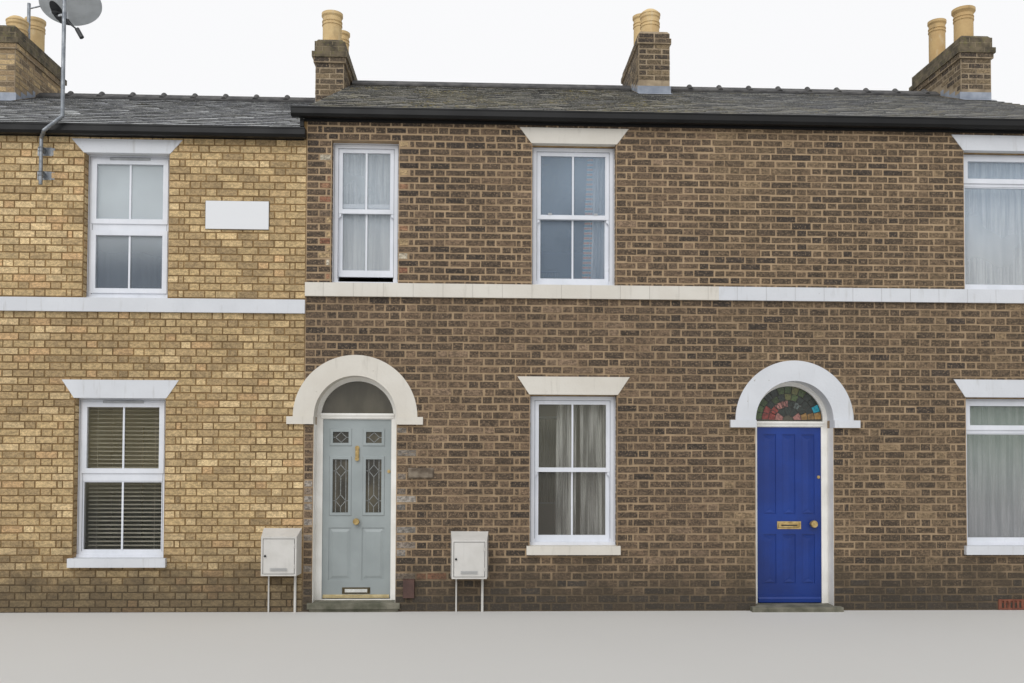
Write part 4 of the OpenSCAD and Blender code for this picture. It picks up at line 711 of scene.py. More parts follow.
brickPaint = makeBrickPaint()
buildBricks()


# Puts a material in the first slot of each named node
def dress(paint, *names):
    for name in names:
        slots = nodes[name].data.materials
        if len(slots):
            slots[0] = paint
        else:
            slots.append(paint)


dress(makeMortar("buff_mortar", (150, 121, 80), (118, 94, 60)), "left_front_wall", "left_rear_wall")
dress(makeMortar("brown_mortar", (174, 150, 120), (150, 128, 101)), "door_piers", "grey_door_bay",
      "middle_front_wall", "blue_door_bay", "right_front_wall", "brown_rear_wall", "party_walls")

# Slates: length that shows, width, how much the head of one lies under the next, thickness, gap, spread
# and limit of their slip and of their tilt, how much of the colour their sides keep (painted shade: the
# darkened sides stand for the shade under and between the slates), and the spread and limits of their
# brightness
slate = {"gauge": 0.200, "width": 0.250, "lap": 0.060, "thick": 0.012, "gap": 0.011, "slip": (0.007, 0.022),
         "tilt": (0.0032, 0.008), "sides": 0.16, "spread": 0.38, "limits": (0.7, 3.0)}

# Slates of each roof: slot, brightness and tones
slateLooks = {
    "left": ("buff_slate", 2.10, [(112, 113, 114), (105, 106, 108), (119, 120, 120), (97, 98, 101)]),
    "brown": ("mossy_slate", 2.08, [(101, 98, 90), (94, 92, 85), (108, 104, 92), (87, 85, 82),
                                    (104, 99, 84)])}

# Slab under the slates: how far it lies below the slope at its top, its front edge and its foot
slabCuts = (0.012, 0.015, 0.130)

# One dark slate on the left roof
darkSlate = {"x": -3.48, "z": 5.49, "dim": 0.45}


# One slope: a slab just under the slates, and rows of slates from the eaves up, every other row half a
# slate on
def buildSlope(roof, side, x0, x1, node):
    ridge, fall = roofs[roof]
    slot, bright, shades = slateLooks[roof]
    edge = row["eaves"]
    long = math.hypot(1, fall)
    half = stackDepth / 2
    holes = [(x, x + w) for x, w, top in stacks if x < x1 and x + w > x0]
    marks = sorted({x0, x1, *[min(max(m, x0), x1) for hole in holes for m in hole]})
    parts = []
    for a, b in zip(marks[:-1], marks[1:]):
        inner = half if any(p < (a + b) / 2 < q for p, q in holes) else 0.0
        y = np.array([inner, edge, edge, row["face"], row["face"], inner])
        z = ridge - fall * y - np.repeat(slabCuts, 2)
        ends = [np.column_stack([np.full(6, x), side * y, z]) for x in (a, b)]
        ring = np.array([[0, 1, 4, 5], [1, 2, 3, 4]])
        i = np.arange(6)
        around = np.column_stack([i, (i + 1) % 6, 6 + (i + 1) % 6, 6 + i])
        faces = np.concatenate([ring[:, ::-1], ring + 6, around])
        parts.append((np.concatenate(ends), faces if side > 0 else faces[:, ::-1]))
    paint = slatePaints[roof]
    # Painted shade: the slab is near black, so that the gaps between the slates show dark
    plain = np.tile(tones([(40, 40, 38)]), (sum(len(f) for _, f in parts), 1))
    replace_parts(piece("slab_%s" % node, *joined(parts), paint, slot=slot, colours=plain), node)
    u0, u1 = (x0, x1) if side < 0 else (-x1, -x0)
    rects = []
    for course in range(int(math.ceil(edge * long / slate["gauge"]))):
        low = course * slate["gauge"]
        high = min(low + slate["gauge"] + slate["lap"], edge * long)
        starts = np.arange(u0 - slate["width"] * (0.5 if course % 2 else 0), u1, slate["width"])
        stops = starts + slate["width"] - slate["gap"]
        rects.append(np.column_stack([starts, stops, 0 * starts + low, 0 * starts + high]))
    rects = np.concatenate(rects)
    rects[:, :2] = rects[:, :2].clip(u0 + 0.001, u1 - 0.001)
    rects[:, 2] += np.abs(dice.normal(0, slate["slip"][0], len(rects))).clip(0, slate["slip"][1])
    rects = rects[(rects[:, 1] - rects[:, 0] > 0.03) & (rects[:, 3] - rects[:, 2] > 0.03)]
    for x, w, top in stacks:
        a, b = (x, x + w) if side < 0 else (-x - w, -x)
        left, right, foot, head = rects.T
        rects = rects[(left <= a - 0.002) | (right >= b + 0.002) | (foot <= (edge - half) * long)]
    drop = slate["thick"] * (rects[:, 3] - rects[:, 2]) / slate["gauge"]
    tilt = np.abs(dice.normal(0, slate["tilt"][0], (len(rects), 2))).clip(0, slate["tilt"][1])
    high = np.column_stack([-tilt, -drop, -drop])
    colours = tones(shades)[dice.integers(0, len(shades), len(rects))]
    colours = colours * dice.normal(bright, slate["spread"], (len(rects), 1)).clip(*slate["limits"])
    if roof == "left" and side < 0:
        up = (edge - (ridge - darkSlate["z"]) / fall) * long
        far = np.hypot(rects[:, :2].mean(axis=1) - darkSlate["x"], rects[:, 2] - up)
        colours[far.argmin()] *= darkSlate["dim"]
    origin = (0, side * edge, ridge - fall * edge)
    back = -slate["thick"] - 0.010
    mesh = blocks(origin, (-side, 0, 0), (0, -side / long, fall / long), rects, back, high, 0.0)
    faces = np.repeat(colours[:, None], 6, axis=1)
    # Painted shade: the sides of each slate are darkened to stand for the shade in the gaps and under its
    # foot
    faces[:, 1:] *= slate["sides"]
    piece("slates_%s" % node, *mesh, paint, colours=faces.reshape(-1, 3), slot=slot)
    print("slates on", node, len(rects))


# Riven slate with streaks down the slope; moss is yellow-green in patches and along the joints
def makeSlatePaint(name, moss):
    p = Paint(name, Roughness=0.8)
    base = p.own("shade")
    colour = p.mix(p.patches(22, 5, 0.38, 0.62, rough=0.72), p.dim(base, 0.66), p.dim(base, 1.24))
    colour = p.mix(p.patches(48, 3, 0.54, 0.66, shift=(2, 8, 1)) * 0.45, colour, (176, 174, 166))
    tufts = p.patches(24, 4, 0.50, 0.66, shift=(1, 1, 5))
    isRight = p.ease(p.axis("X"), 1.6, 3.4)
    mossy = p.patches(1.3, 4, 0.42, 0.70, shift=(7, 2, 3)) * tufts * moss * (1 - isRight * 0.3)
    colour = p.mix(mossy, colour, (136, 122, 58))
    colour = p.mix(isRight * 0.30, colour, (126, 128, 132))
    colour = p.mix(p.patches(5, 3, 0.5, 0.75, (1, 0.3, 0.3)) * 0.15, colour, p.dim(colour, 0.6))
    return p.coat(colour, height=p.noise(70, 4, (1.6, 0.6, 0.6)) + 0.5 * tufts * moss, depth=0.003)


slatePaints = {"left": makeSlatePaint("grey_slate", 0.12), "brown": makeSlatePaint("mossy_slate", 0.85)}
for side, word in ((-1, "front"), (1, "rear")):
    buildSlope("left", side, row["left"], row["roofJoint"], "left_roof_" + word)
    buildSlope("brown", side, row["roofJoint"], row["right"], "brown_roof_" + word)
print("roofs laid")

# Finishes in two tones: light, dark, size of the blotches, roughness, size and depth of the grain, metal,
# dirt
finishes = {
    "ridge_clay": ((92, 90, 88), (64, 63, 64), 7, 0.85, 60, 0.0030, 0, 0.5),
    "lead_sheet": ((160, 166, 176), (124, 131, 143), 5, 0.55, 14, 0.0030, 0, 0.3),
    "fascia_paint": ((24, 24, 24), (15, 15, 16), 4, 0.45, 20, 0.0008, 0, 0.2),
    "gutter_plastic": ((26, 26, 26), (17, 17, 18), 3, 0.40, 30, 0.0003, 0, 0.2),
    "step_stone": ((122, 118, 104), (82, 82, 68), 6, 0.9, 45, 0.0040, 0, 0.9),
    "white_frame": ((226, 228, 234), (214, 217, 223), 3, 0.30, 40, 0.0003, 0, 0.35),
    "door_frame": ((238, 236, 231), (224, 221, 214), 4, 0.42, 30, 0.0006, 0, 0.5),
    "plain_door": ((150, 152, 150), (132, 135, 134), 3, 0.45, 25, 0.0006, 0, 0.4),
    "screed": ((120, 116, 108), (96, 93, 88), 4, 0.9, 40, 0.0020, 0, 0.2),
    "meter_plastic": ((208, 205, 200), (196, 193, 187), 5, 0.45, 50, 0.0004, 0, 0.5),
    "air_clay": ((130, 78, 58), (102, 60, 46), 20, 0.85, 80, 0.0015, 0, 0.5),
    "cable_plastic": ((84, 58, 50), (66, 46, 41), 9, 0.6, 60, 0.0006, 0, 0.5),
    "galvanised": ((150, 154, 158), (116, 121, 127), 18, 0.42, 60, 0.0005, 0.7, 0.2),
    "black_part": ((40, 41, 43), (28, 29, 31), 12, 0.5, 60, 0.0004, 0, 0.2),
    "blind_slat": ((214, 208, 188), (188, 182, 164), 6, 0.5, 40, 0.0002, 0, 0.1),
    "lead_came": ((150, 152, 150), (112, 114, 114), 30, 0.4, 90, 0.0004, 0.5, 0.1),
    "dark_came": ((66, 62, 56), (44, 42, 40), 30, 0.5, 90, 0.0004, 0.3, 0.1),
    "rail_metal": ((168, 164, 156), (140, 137, 130), 12, 0.35, 60, 0.0002, 0.6, 0.1),
    "vent_plastic": ((168, 170, 172), (150, 152, 154), 9, 0.4, 40, 0.0003, 0, 0.2),
    # Grey of the painted shade lines at the joints of the window frames
    "shade_line": ((158, 160, 166), (140, 142, 148), 9, 0.6, 40, 0.0003, 0, 0.2),
    "silver": ((226, 226, 220), (196, 196, 190), 9, 0.3, 40, 0.0002, 0.3, 0.1),
    "tan_bed": ((168, 142, 96), (128, 104, 70), 12, 0.9, 60, 0.0015, 0, 0.2),
}


# Two tones in blotches, a fine grain, and dirt in streaks that run down
def makeFinish(name):
    first, second, size, rough, grain, depth, metal, dirt = finishes[name]
    p = Paint(name, Metallic=metal, Specular_IOR_Level=0.25 if "gutter" in name or "fascia" in name else 0.5)
    blotch = p.patches(size, 4, 0.30, 0.72)
    colour = p.mix(blotch, second, first)
    streaks = p.patches(7, 4, 0.54, 0.78, (3, 3, 0.35), shift=(1, 6, 2))
    colour = p.mix(streaks * (0.5 * dirt), colour, p.dim(colour, 0.62))
    worn = p.add("ShaderNodeMapRange", {}, {0: blotch, 3: min(rough + 0.08, 1.0), 4: max(rough - 0.05, 0.05)})
    return p.coat(colour, height=p.noise(grain, 3), depth=depth, Roughness=worn)


paints = {name: makeFinish(name) for name in finishes}


# Painted stone: where the cream of the middle house begins below the string course and how high that
# reaches, heights of the brown string course, length between its seams, and the part of it that a seam
# takes
stoneMarks = {"creamFrom": -2.45, "creamUnder": 3.0, "foot": 3.395, "top": 3.553, "block": 0.3225,
              "seam": 0.012}


# Cream on the middle house, cooler white on its neighbours, thin seams across the brown string course,
# streaks of dirt, chips and a rough brushed face
def makeStonePaint():
    p = Paint("painted_stone", Roughness=0.6)
    x, z = p.axis("X"), p.axis("Z")
    isLow = (x > stoneMarks["creamFrom"]) * (z < stoneMarks["creamUnder"])
    isCream = p.maths("MAXIMUM", x > row["joint"], isLow) * (x < row["seam"] + 0.01)
    light = p.mix(isCream, (211, 213, 217), (213, 208, 198))
    dark = p.mix(isCream, (203, 205, 209), (205, 199, 188))
    colour = p.blotch(2.5, dark, light, high=0.72)
    colour = p.mix(p.patches(6, 4, 0.56, 0.80, (3, 3, 0.4), shift=(3, 3, 3)) * 0.35, colour, (140, 134, 120))
    colour = p.mix(p.patches(26, 4, 0.70, 0.76, shift=(2, 5, 9)) * 0.5, colour, (124, 116, 102))
    isString = (z > stoneMarks["foot"]) * (z < stoneMarks["top"]) * (x > row["joint"])
    seam = (p.maths("FRACT", x * (1 / stoneMarks["block"])) < stoneMarks["seam"]) * isString
    colour = p.mix(seam * 0.5, colour, (120, 112, 100))
    return p.coat(colour, height=p.noise(40, 4) - seam, depth=0.002)


# Pot clay: buff with pale stains and patches of soot; the pots of the last stack are darker
def makePotPaint():
    p = Paint("pot_clay", Roughness=0.85)
    colour = p.mix(p.axis("X") > 4.0, (216, 188, 138), (200, 170, 120))
    colour = p.mix(p.patches(6, 4, 0.35, 0.7) * 0.4, colour, (176, 142, 98))
    colour = p.mix(p.patches(14, 4, 0.55, 0.75, (1, 1, 0.3)) * 0.5, colour, (216, 200, 168))
    soot = p.patches(4, 4, 0.55, 0.8, (1, 1, 0.5), shift=(2, 2, 2))
    colour = p.mix(soot * 0.55, colour, (70, 64, 56))
    return p.coat(colour, height=p.noise(60, 3), depth=0.002)


# Smooth door paint: soft brush marks, slight fading, scuffs near the foot
def makeDoorPaint(name, light, dark, scuff):
    p = Paint(name, Roughness=0.38)
    colour = p.blotch(2.2, dark, light)
    low = p.nearGround(p.noise(6, 4) * 1.1, -0.45, 0.35)
    colour = p.mix(low * scuff, colour, p.dim(colour, 0.60))
    flecks = p.patches(55, 2, 0.78, 0.82, shift=(5, 5, 1))
    colour = p.mix(flecks * 0.7 * scuff, colour, (170, 176, 186))
    return p.coat(colour, height=p.noise(18, 4, (3, 1, 0.35)), depth=0.0006)


# Head of a chimney: length of its bricks, its height, and how thick joints are as parts of a course and a
# brick
headLook = {"brick": 0.225, "high": 0.235, "bed": 0.12, "joint": 0.05}


# Mortar of a chimney, and above a level the bricks of its head as darker blotches between pale joints, with
# moss
def makeStackPaint(number, level):
    p = Paint("stack_mortar_%d" % number, Roughness=0.95)
    blotch = p.patches(7, 4, 0.3, 0.7)
    joint = p.mix(blotch, (140, 124, 102), (172, 154, 128))
    head = p.mix(blotch, (66, 60, 49), (116, 104, 84))
    head = p.mix(p.patches(22, 4, 0.52, 0.66, shift=(1, 2, 3)) * 0.5, head, (112, 108, 62))
    z = p.axis("Z")
    course = (z - level) * (1 / kinds["stack"]["gauge"])
    along = (p.axis("X") + p.axis("Y")) * (1 / headLook["brick"]) + p.maths("FLOOR", course) * 0.37
    seams = p.maths("MAXIMUM", p.maths("FRACT", course) < headLook["bed"],
                    p.maths("FRACT", along) < headLook["joint"])
    head = p.mix(seams * p.patches(12, 3, 0.35, 0.55, shift=(5, 5, 5)) * 0.6, head, (150, 136, 110))
    colour = p.mix(z > level, joint, head)
    colour = p.mix(p.patches(4, 4, 0.5, 0.75, (2, 2, 0.5)) * 0.5, colour, (56, 52, 46))
    return p.coat(colour, height=p.noise(45, 4) - seams * (z > level) * 0.6, depth=0.004)


# Marks on the dish: the middle of a dark round patch and its radius, and where its arm ends
dishMarks = {"plate": (-4.880, 6.515), "patchRadius": 0.062, "arm": -4.664, "armFront": -3.850,
             "armTop": 6.300}


# Pale dish with a dark round patch painted at its middle and a black receiver at the end of its arm
def makeDishPaint():
    p = Paint("dish_paint", Roughness=0.45)
    x, z = p.axis("X"), p.axis("Z")
    colour = p.blotch(6, (186, 190, 192), (204, 208, 211))
    across, up = x - dishMarks["plate"][0], z - dishMarks["plate"][1]
    plate = across * across + up * up < dishMarks["patchRadius"] ** 2
    arm = (x > dishMarks["arm"]) * (z < dishMarks["armTop"]) * (p.axis("Y") < dishMarks["armFront"])
    colour = p.mix(p.maths("MAXIMUM", plate, arm), colour, (38, 40, 42))
    return p.coat(colour, height=p.noise(50, 3), depth=0.0004)


# The blank plaque is of the same node as the rough stone: its middle and size
plaque = {"x": -2.867, "z": 4.270, "w": 0.690, "h": 0.320}


# Bare brown stone with pale grains, and the plaque's plain pale face with a dark line round it
def makeRoughStone():
    p = Paint("rough_stone", Roughness=0.95)
    colour = p.mix(p.patches(9, 5, 0.3, 0.7), (86, 74, 62), (140, 128, 112))
    edges = [p.maths("ABSOLUTE", p.axis(axis) - plaque[axis.lower()]) > plaque[size] / 2 - 0.008
             for axis, size in (("X", "w"), ("Z", "h"))]
    face = p.mix(p.maths("MAXIMUM", *edges), (224, 225, 227), (120, 112, 98))
    colour = p.mix(p.axis("Z") > 3.0, colour, face)
    return p.coat(colour, height=p.noise(30, 5) * (0.04 + 0.96 * (p.axis("Z") < 3.0)), depth=0.008)


# Painted reflection on each window's glass, a pale or dim sheet of colour standing for the sky and street
# that it
# mirrors: its colours at head and foot, how much it covers, and the heights between which the colours change
paintedReflections = {"buffHigh": ((214, 222, 226), (118, 128, 140), 0.50, (3.60, 4.30)),
         "narrowHigh": ((204, 214, 222), (200, 206, 210), 0.32, (3.70, 4.60)),
         "middleHigh": ((172, 190, 208), (136, 152, 170), 0.36, (3.60, 4.90)),
         "rightHigh": ((196, 212, 228), (208, 212, 214), 0.34, (3.60, 4.90)),
         "buffLow": ((120, 112, 84), (70, 70, 62), 0.24, (1.00, 1.70)),
         "middleLow": ((138, 136, 122), (120, 116, 108), 0.22, (0.90, 2.10)),
         "rightLow": ((150, 162, 150), (150, 150, 150), 0.36, (0.90, 2.10))}


# Old window glass with painted reflection: each window's reflection is picked by its place, and wanders
# slowly over the panes
def makeWindowGlass():
    p = Paint("window_glass", Roughness=0.04, IOR=1.5)
    x, z = p.axis("X"), p.axis("Z")
    # Painted reflection: a grey sheet on panes that no window's entry reaches
    colour, reflectionShare = (90, 94, 96), 0.3
    for key, (head, foot, cover, span) in paintedReflections.items():
        middle, w, low, high = windows[key]
        here = (p.maths("ABSOLUTE", x - middle) < w) * (p.maths("ABSOLUTE", z - (low + high) / 2) < 1.0)
        colour = p.mix(here, colour, p.mix(p.ease(z, *span), foot, head))
        reflectionShare = reflectionShare + here * (cover - 0.3)
    wave = p.noise(1.4, 2, shift=(3, 1, 0))
    colour = p.mix(p.patches(0.8, 2, 0.35, 0.65, shift=(9, 4, 2)) * 0.25, colour, p.dim(colour, 0.7))
    return p.coat(colour, height=wave, depth=0.004, Alpha=reflectionShare + p.ease(wave, 0.3, 0.7) * 0.10 - 0.05)


# Heights on the grey door: its letter plate lies below the first, and the weather bar below the second
brassMarks = (0.30, 0.158)


# Brass; on the grey door the letter plate is tarnished and the weather bar at its foot pale
def makeBrass():
    p = Paint("brass", Metallic=0.55, Roughness=0.30)
    x, z = p.axis("X"), p.axis("Z")
    blotch = p.patches(22, 4, 0.30, 0.72)
    colour = p.mix(blotch, (158, 132, 82), (204, 178, 122))
    plate, bar = brassMarks
    colour = p.mix((x < 0.0) * (z < plate), colour, p.mix(blotch, (70, 62, 44), (96, 86, 62)))
    colour = p.mix((x < 0.0) * (z < bar), colour, p.mix(blotch, (190, 172, 128), (214, 198, 156)))
    return p.coat(colour, height=p.noise(70, 3), depth=0.0003)


# Dark obscured glass of the doors
def makeDarkGlass(name, light, dark, cover):
    p = Paint(name, Roughness=0.06, IOR=1.5)
    wave = p.patches(5, 3, 0.3, 0.7, (1, 1, 0.5))
    return p.coat(p.mix(wave, dark, light), height=p.noise(40, 3), depth=0.001, Alpha=cover + wave * 0.06)


paints.update({
    "painted_stone": makeStonePaint(), "pot_clay": makePotPaint(), "brass": makeBrass(),
    "rough_stone": makeRoughStone(), "window_glass": makeWindowGlass(), "dish_paint": makeDishPaint(),
    "grey_paint": makeDoorPaint("grey_paint", (154, 161, 161), (142, 149, 149), 0.12),
    "blue_paint": makeDoorPaint("blue_paint", (8, 54, 136), (5, 44, 118), 0.40),
    "door_glass": makeDarkGlass("door_glass", (88, 82, 66), (48, 46, 40), 0.88),
    "fan_glass": makeDarkGlass("fan_glass", (90, 85, 72), (78, 74, 62), 0.90)})
for number, (x, w, top) in enumerate(stacks, 1):
    level = top - headLook["high"] if number - 1 != heads["plain"] else top + 1
    dress(makeStackPaint(number, level), "chimney_stack_%d" % number)

# Nodes that wear each finish
wear = {
    "ridge_clay": ["ridge_tiles"], "lead_sheet": ["lead_flashings"],
    "pot_clay": ["chimney_pots_1", "chimney_pots_2", "chimney_pots_3", "chimney_pots_4"],
    "fascia_paint": ["fascia_boards"], "gutter_plastic": ["buff_gutters", "brown_gutters"],
    "painted_stone": ["string_courses", "window_lintels", "window_sills", "left_door_arch", "grey_door_arch",
                      "blue_door_arch"],
    "step_stone": ["door_steps"], "door_frame": ["left_door_frame", "grey_door_frame", "blue_door_frame"],
    "white_frame": ["left_windows", "middle_windows", "right_windows"], "plain_door": ["left_doors"],
    "grey_paint": ["grey_door"], "blue_paint": ["blue_door"],
    "brass": ["grey_door_fittings", "blue_door_fittings"],
    "window_glass": ["window_glass"], "door_glass": ["grey_door_glass"], "fan_glass": ["fanlights"],
    "screed": ["ground_floors", "upper_floors"],
    "meter_plastic": ["meter_boxes", "left_meter_door", "right_meter_door"],
    "rough_stone": ["wall_stones"], "cable_plastic": ["cable_box"], "air_clay": ["air_brick"],
    "galvanised": ["aerial_mast", "chimney_aerial_pole"], "dish_paint": ["dish"]}
for finish, names in wear.items():
    dress(paints[finish], *names)
print("finishes given")

# Bars of the panes: depths of the faces that they stand on, width and thickness of a bar
glazing = {"upperFront": -3.626, "sashUpper": -3.614, "sashLower": -3.578, "bar": 0.020, "thick": 0.012}

# Panes with a bar as window, foot, head and face
paneBars = [("buffLow", 1.531, 2.192, "upperFront"), ("buffLow", 0.657, 1.380, "upperFront"),
            ("buffHigh", 4.237, 4.837, "upperFront"), ("buffHigh", 3.481, 4.059, "upperFront"),
            ("middleLow", 1.554, 2.249, "sashUpper"), ("middleLow", 0.810, 1.506, "sashLower"),
            ("middleHigh", 4.352, 5.009, "sashUpper"), ("middleHigh", 3.650, 4.304, "sashLower")]
narrowBars = [("narrowHigh", 4.385, 5.009, "sashUpper"), ("narrowHigh", 3.716, 4.390, "sashLower")]


# Upright bar down the middle of a pane, standing on the glass
def barSpans(lines):
    spans = []
    half = glazing["bar"] / 2
    for key, low, high, face in lines:
        x, y = windows[key][0], glazing[face]
        spans.append((x - half, y - glazing["thick"], low - 0.002, x + half, y, high + 0.002))
    return spans


# Painted shade lines on the frames, thin grey strips that stand for the shadow in the gaps between frame
# and sash: how far in the outer one lies, and the inner one in a sliding and in a hinged window, how much
# higher they begin at the foot, their width and the depths of their faces
shadeLines = {"outer": 0.012, "sliding": 0.056, "hinged": 0.048, "foot": 0.012, "wide": 0.006, "front": -3.6412,
         "back": -3.6398}


# Painted shade lines at the joints of the frames, as thin grey strips in front of them: one near the edge and
# one where the sash begins
def frameTrim(names):
    spans = []
    wide = shadeLines["wide"]
    for key in names:
        x, w, low, high = windows[key]
        for inset in (shadeLines["outer"], shadeLines["hinged" if "buff" in key or "right" in key else "sliding"]):
            left, right = x - w / 2 + inset, x + w / 2 - inset
            foot, head = low + inset + shadeLines["foot"], high - inset
            for a, b, c in ((left, left + wide, foot), (right - wide, right, foot),
                            (left + wide, right - wide, head - wide)):
                spans.append((a, shadeLines["front"], c, b, shadeLines["back"], head))
    return spans


# Vents at the heads of the buff windows: half length, drop, height, how far they stand out of the frame's
# face, and how far the plate behind reaches out, sideways and up
vents = {"half": 0.205, "drop": 0.047, "high": 0.018, "proud": 0.009, "face": -3.654, "plate": 0.004,
         "aside": 0.012, "above": 0.005}

# Two catches on the middle window: shift, half width, depths and heights
catches = {"shift": 0.255, "half": 0.020, "depths": (-3.634, -3.606), "heights": (4.352, 4.372)}

# Bedding seen under the brown houses' lintels: depths, height, and how far its ends and its top stay clear
bedding = {"depths": (-3.662, -3.6405), "high": 0.012, "ends": 0.002, "clear": 0.0005}


# Bars, painted shade lines, vents, catches and bedding, all of straight boxes
def buildFrameTrim():
    white, line = paints["white_frame"], paints["shade_line"]
    piece("window_bars", *boxes(barSpans(paneBars + narrowBars)), white, slot="white_frame")
    piece("rear_window_bars", *mirrored(boxes(barSpans(paneBars))), white, slot="white_frame")
    piece("frame_shade_lines", *boxes(frameTrim(windows)), line, slot="white_frame")
    piece("rear_frame_shade_lines", *mirrored(boxes(frameTrim(twins))), line, slot="white_frame")
    spans = []
    face, aside, above = vents["face"], vents["aside"], vents["above"]
    for key in ("buffLow", "buffHigh"):
        x, w, low, high = windows[key]
        a, b, z = x - vents["half"], x + vents["half"], high - vents["drop"]
        top = z + vents["high"]
        spans.append((a, face - vents["proud"], z, b, face, top))
        spans.append((a - aside, face - vents["plate"], z - above, b + aside, face, top + above))
    x, half = windows["middleHigh"][0], catches["half"]
    (front, back), (low, high) = catches["depths"], catches["heights"]
    for shift in (-catches["shift"], catches["shift"]):
        spans.append((x + shift - half, front, low, x + shift + half, back, high))
    piece("frame_vents", *boxes(spans), paints["vent_plastic"], slot="white_frame")
    beds = []
    front, back = bedding["depths"]
    for key in ("middleLow", "middleHigh", "rightLow", "rightHigh"):
        x, w, low, high = windows[key]
        a, b = x - w / 2 + bedding["ends"], x + w / 2 - bedding["ends"]
        beds.append((a, front, high - bedding["high"], b, back, high - bedding["clear"]))
    piece("lintel_bedding", *boxes(beds), paints["tan_bed"], slot="painted_stone")


# Painted reveals: thickness, and how far they stay clear of the faces around them
reveals = {"thick": 0.003, "clear": 0.001}


# A thin box on each painted side of a doorway
def paintReveals():
    spans = []
    clear = reveals["clear"]
    front, back = -row["face"] + clear, -row["face"] + row["doorReveal"] - clear
    for key, side in painted:
        x, w, low, high = doorways[key]
        edge = x + side * w / 2
        near, far = sorted((edge, edge - side * reveals["thick"]))
        spans.append((near, front, low + clear, far, back, high - row["impost"] - clear))
    piece("painted_reveals", *boxes(spans), paints["door_frame"], slot="white_frame")


buildFrameTrim()
paintReveals()
print("window trim placed")

# Blind of tilted slats behind the lower buff window: foot, head and half width, distance between slats,
# depths of their edges, lift of the back edge, thickness, shift of the two ladders and half width of a
# ladder
blind = {"low": 0.640, "high": 2.215, "half": 0.400, "pitch": 0.0445, "front": -3.544, "back": -3.521,
         "lift": 0.012, "thick": 0.0016, "ladder": 0.31, "tape": 0.002}


# Each slat is a thin plate whose back edge stands higher than its front edge
def buildBlind():
    x = windows["buffLow"][0]
    low, high, half, front, back, tape = (blind[k] for k in ("low", "high", "half", "front", "back", "tape"))
    z = np.arange(low, high - 0.04, blind["pitch"])[:, None]
    z = z + dice.normal(0, 0.0008, z.shape)
    isFront = np.array([0, 0, 0, 0, 1, 1, 1, 1])
    isTop = np.array([0, 0, 1, 1, 0, 0, 1, 1])
    points = np.empty((len(z), 8, 3))
    points[..., 0] = x + np.array([-1, 1, 1, -1, -1, 1, 1, -1]) * half
    points[..., 1] = np.where(isFront, front, back)
    points[..., 2] = z + np.where(isFront, 0.0, blind["lift"]) + isTop * blind["thick"]
    spans = [(x + s - tape, front - 0.001, low - 0.01, x + s + tape, front, high)
             for s in (-blind["ladder"], blind["ladder"])]
    spans.append((x - half - 0.005, front, high - 0.03, x + half + 0.005, back + 0.01, high + 0.012))
    spans.append((x - half, front, low - 0.022, x + half, back, low - 0.008))
    piece("slat_blind", *joined([closed(points), boxes(spans)]), paints["blind_slat"])


buildBlind()


# Cloth with a weave, and soft light and dark streaks along the hang that are painted shade and highlight of
# its folds; lace adds a net of small holes
def makeCloth(name, light, dark, alpha=1.0, lace=False):
    p = Paint(name, Roughness=0.9)
    # Painted fold shade and highlight: streaks between the dark and the light colour, stretched down the hang
    colour = p.mix(p.patches(9, 3, 0.36, 0.64, (3, 1, 0.12)), dark, light)
    weave = p.maths("SINE", p.axis("X") * 2600.0) + p.maths("SINE", p.axis("Z") * 2600.0)
    if lace:
        pattern = p.maths("SINE", p.axis("X") * 210.0) * p.maths("SINE", p.axis("Z") * 210.0)
        colour = p.mix(p.ease(pattern, -0.2, 0.5) * 0.45, colour, p.dim(colour, 0.62))
    return p.coat(colour, height=weave, depth=0.0003, Alpha=alpha)


cloths = {"pale_net": makeCloth("pale_net", (246, 248, 249), (188, 194, 198), 0.97),
          "grey_drape": makeCloth("grey_drape", (222, 222, 216), (118, 119, 116)),
          "lace_net": makeCloth("lace_net", (246, 248, 249), (206, 210, 213), 0.97, True),
          "blue_blind": makeCloth("blue_blind", (236, 242, 245), (222, 230, 235)),
          # A net curtain in dark colours: painted shade of a net in a dim room
          "shaded_net": makeCloth("shaded_net", (112, 116, 112), (70, 74, 72)),
          "cream_cloth": makeCloth("cream_cloth", (232, 226, 208), (190, 182, 162))}


# Bright border squares in two colours down the edge of the upper curtain
def makeBorder():
    p = Paint("woven_border", Roughness=0.9)
    cell = p.maths("FRACT", p.axis("Z") * 18.0)
    colour = p.mix(cell < 0.5, (40, 140, 160), (216, 128, 60))
    colour = p.mix(p.maths("FRACT", p.axis("Z") * 36.0) < 0.3, colour, (200, 196, 186))
    return p.coat(colour, height=p.noise(300, 2), depth=0.0004)


cloths["woven_border"] = makeBorder()

# Curtains as window, ends across from the middle, foot, head, folds, depth of the folds, lean of the foot
# and cloth
curtains = [
    ("buffHigh", -0.37, 0.37, 4.10, 4.90, 1, 0.000, 0.0, "blue_blind"),
    ("buffHigh", -0.40, 0.40, 3.40, 4.16, 6, 0.006, 0.0, "shaded_net"),
    ("narrowHigh", -0.30, 0.30, 4.28, 5.06, 9, 0.017, 0.0, "pale_net"),
    ("narrowHigh", -0.30, 0.30, 3.66, 4.42, 7, 0.007, 0.0, "lace_net"),
    ("middleHigh", 0.245, 0.46, 3.60, 5.06, 5, 0.016, -0.07, "pale_net"),
    ("middleHigh", 0.180, 0.245, 3.60, 5.06, 1, 0.003, -0.07, "woven_border"),
    ("middleLow", -0.16, 0.06, 0.74, 2.30, 5, 0.020, -0.03, "grey_drape"),
    ("middleLow", 0.10, 0.44, 0.74, 2.30, 7, 0.018, 0.0, "grey_drape"),
    ("rightHigh", -0.45, 0.45, 3.58, 5.06, 10, 0.026, 0.0, "pale_net"),
    ("rightLow", -0.45, 0.45, 0.74, 2.30, 12, 0.018, 0.0, "pale_net")]
rearCurtains = []
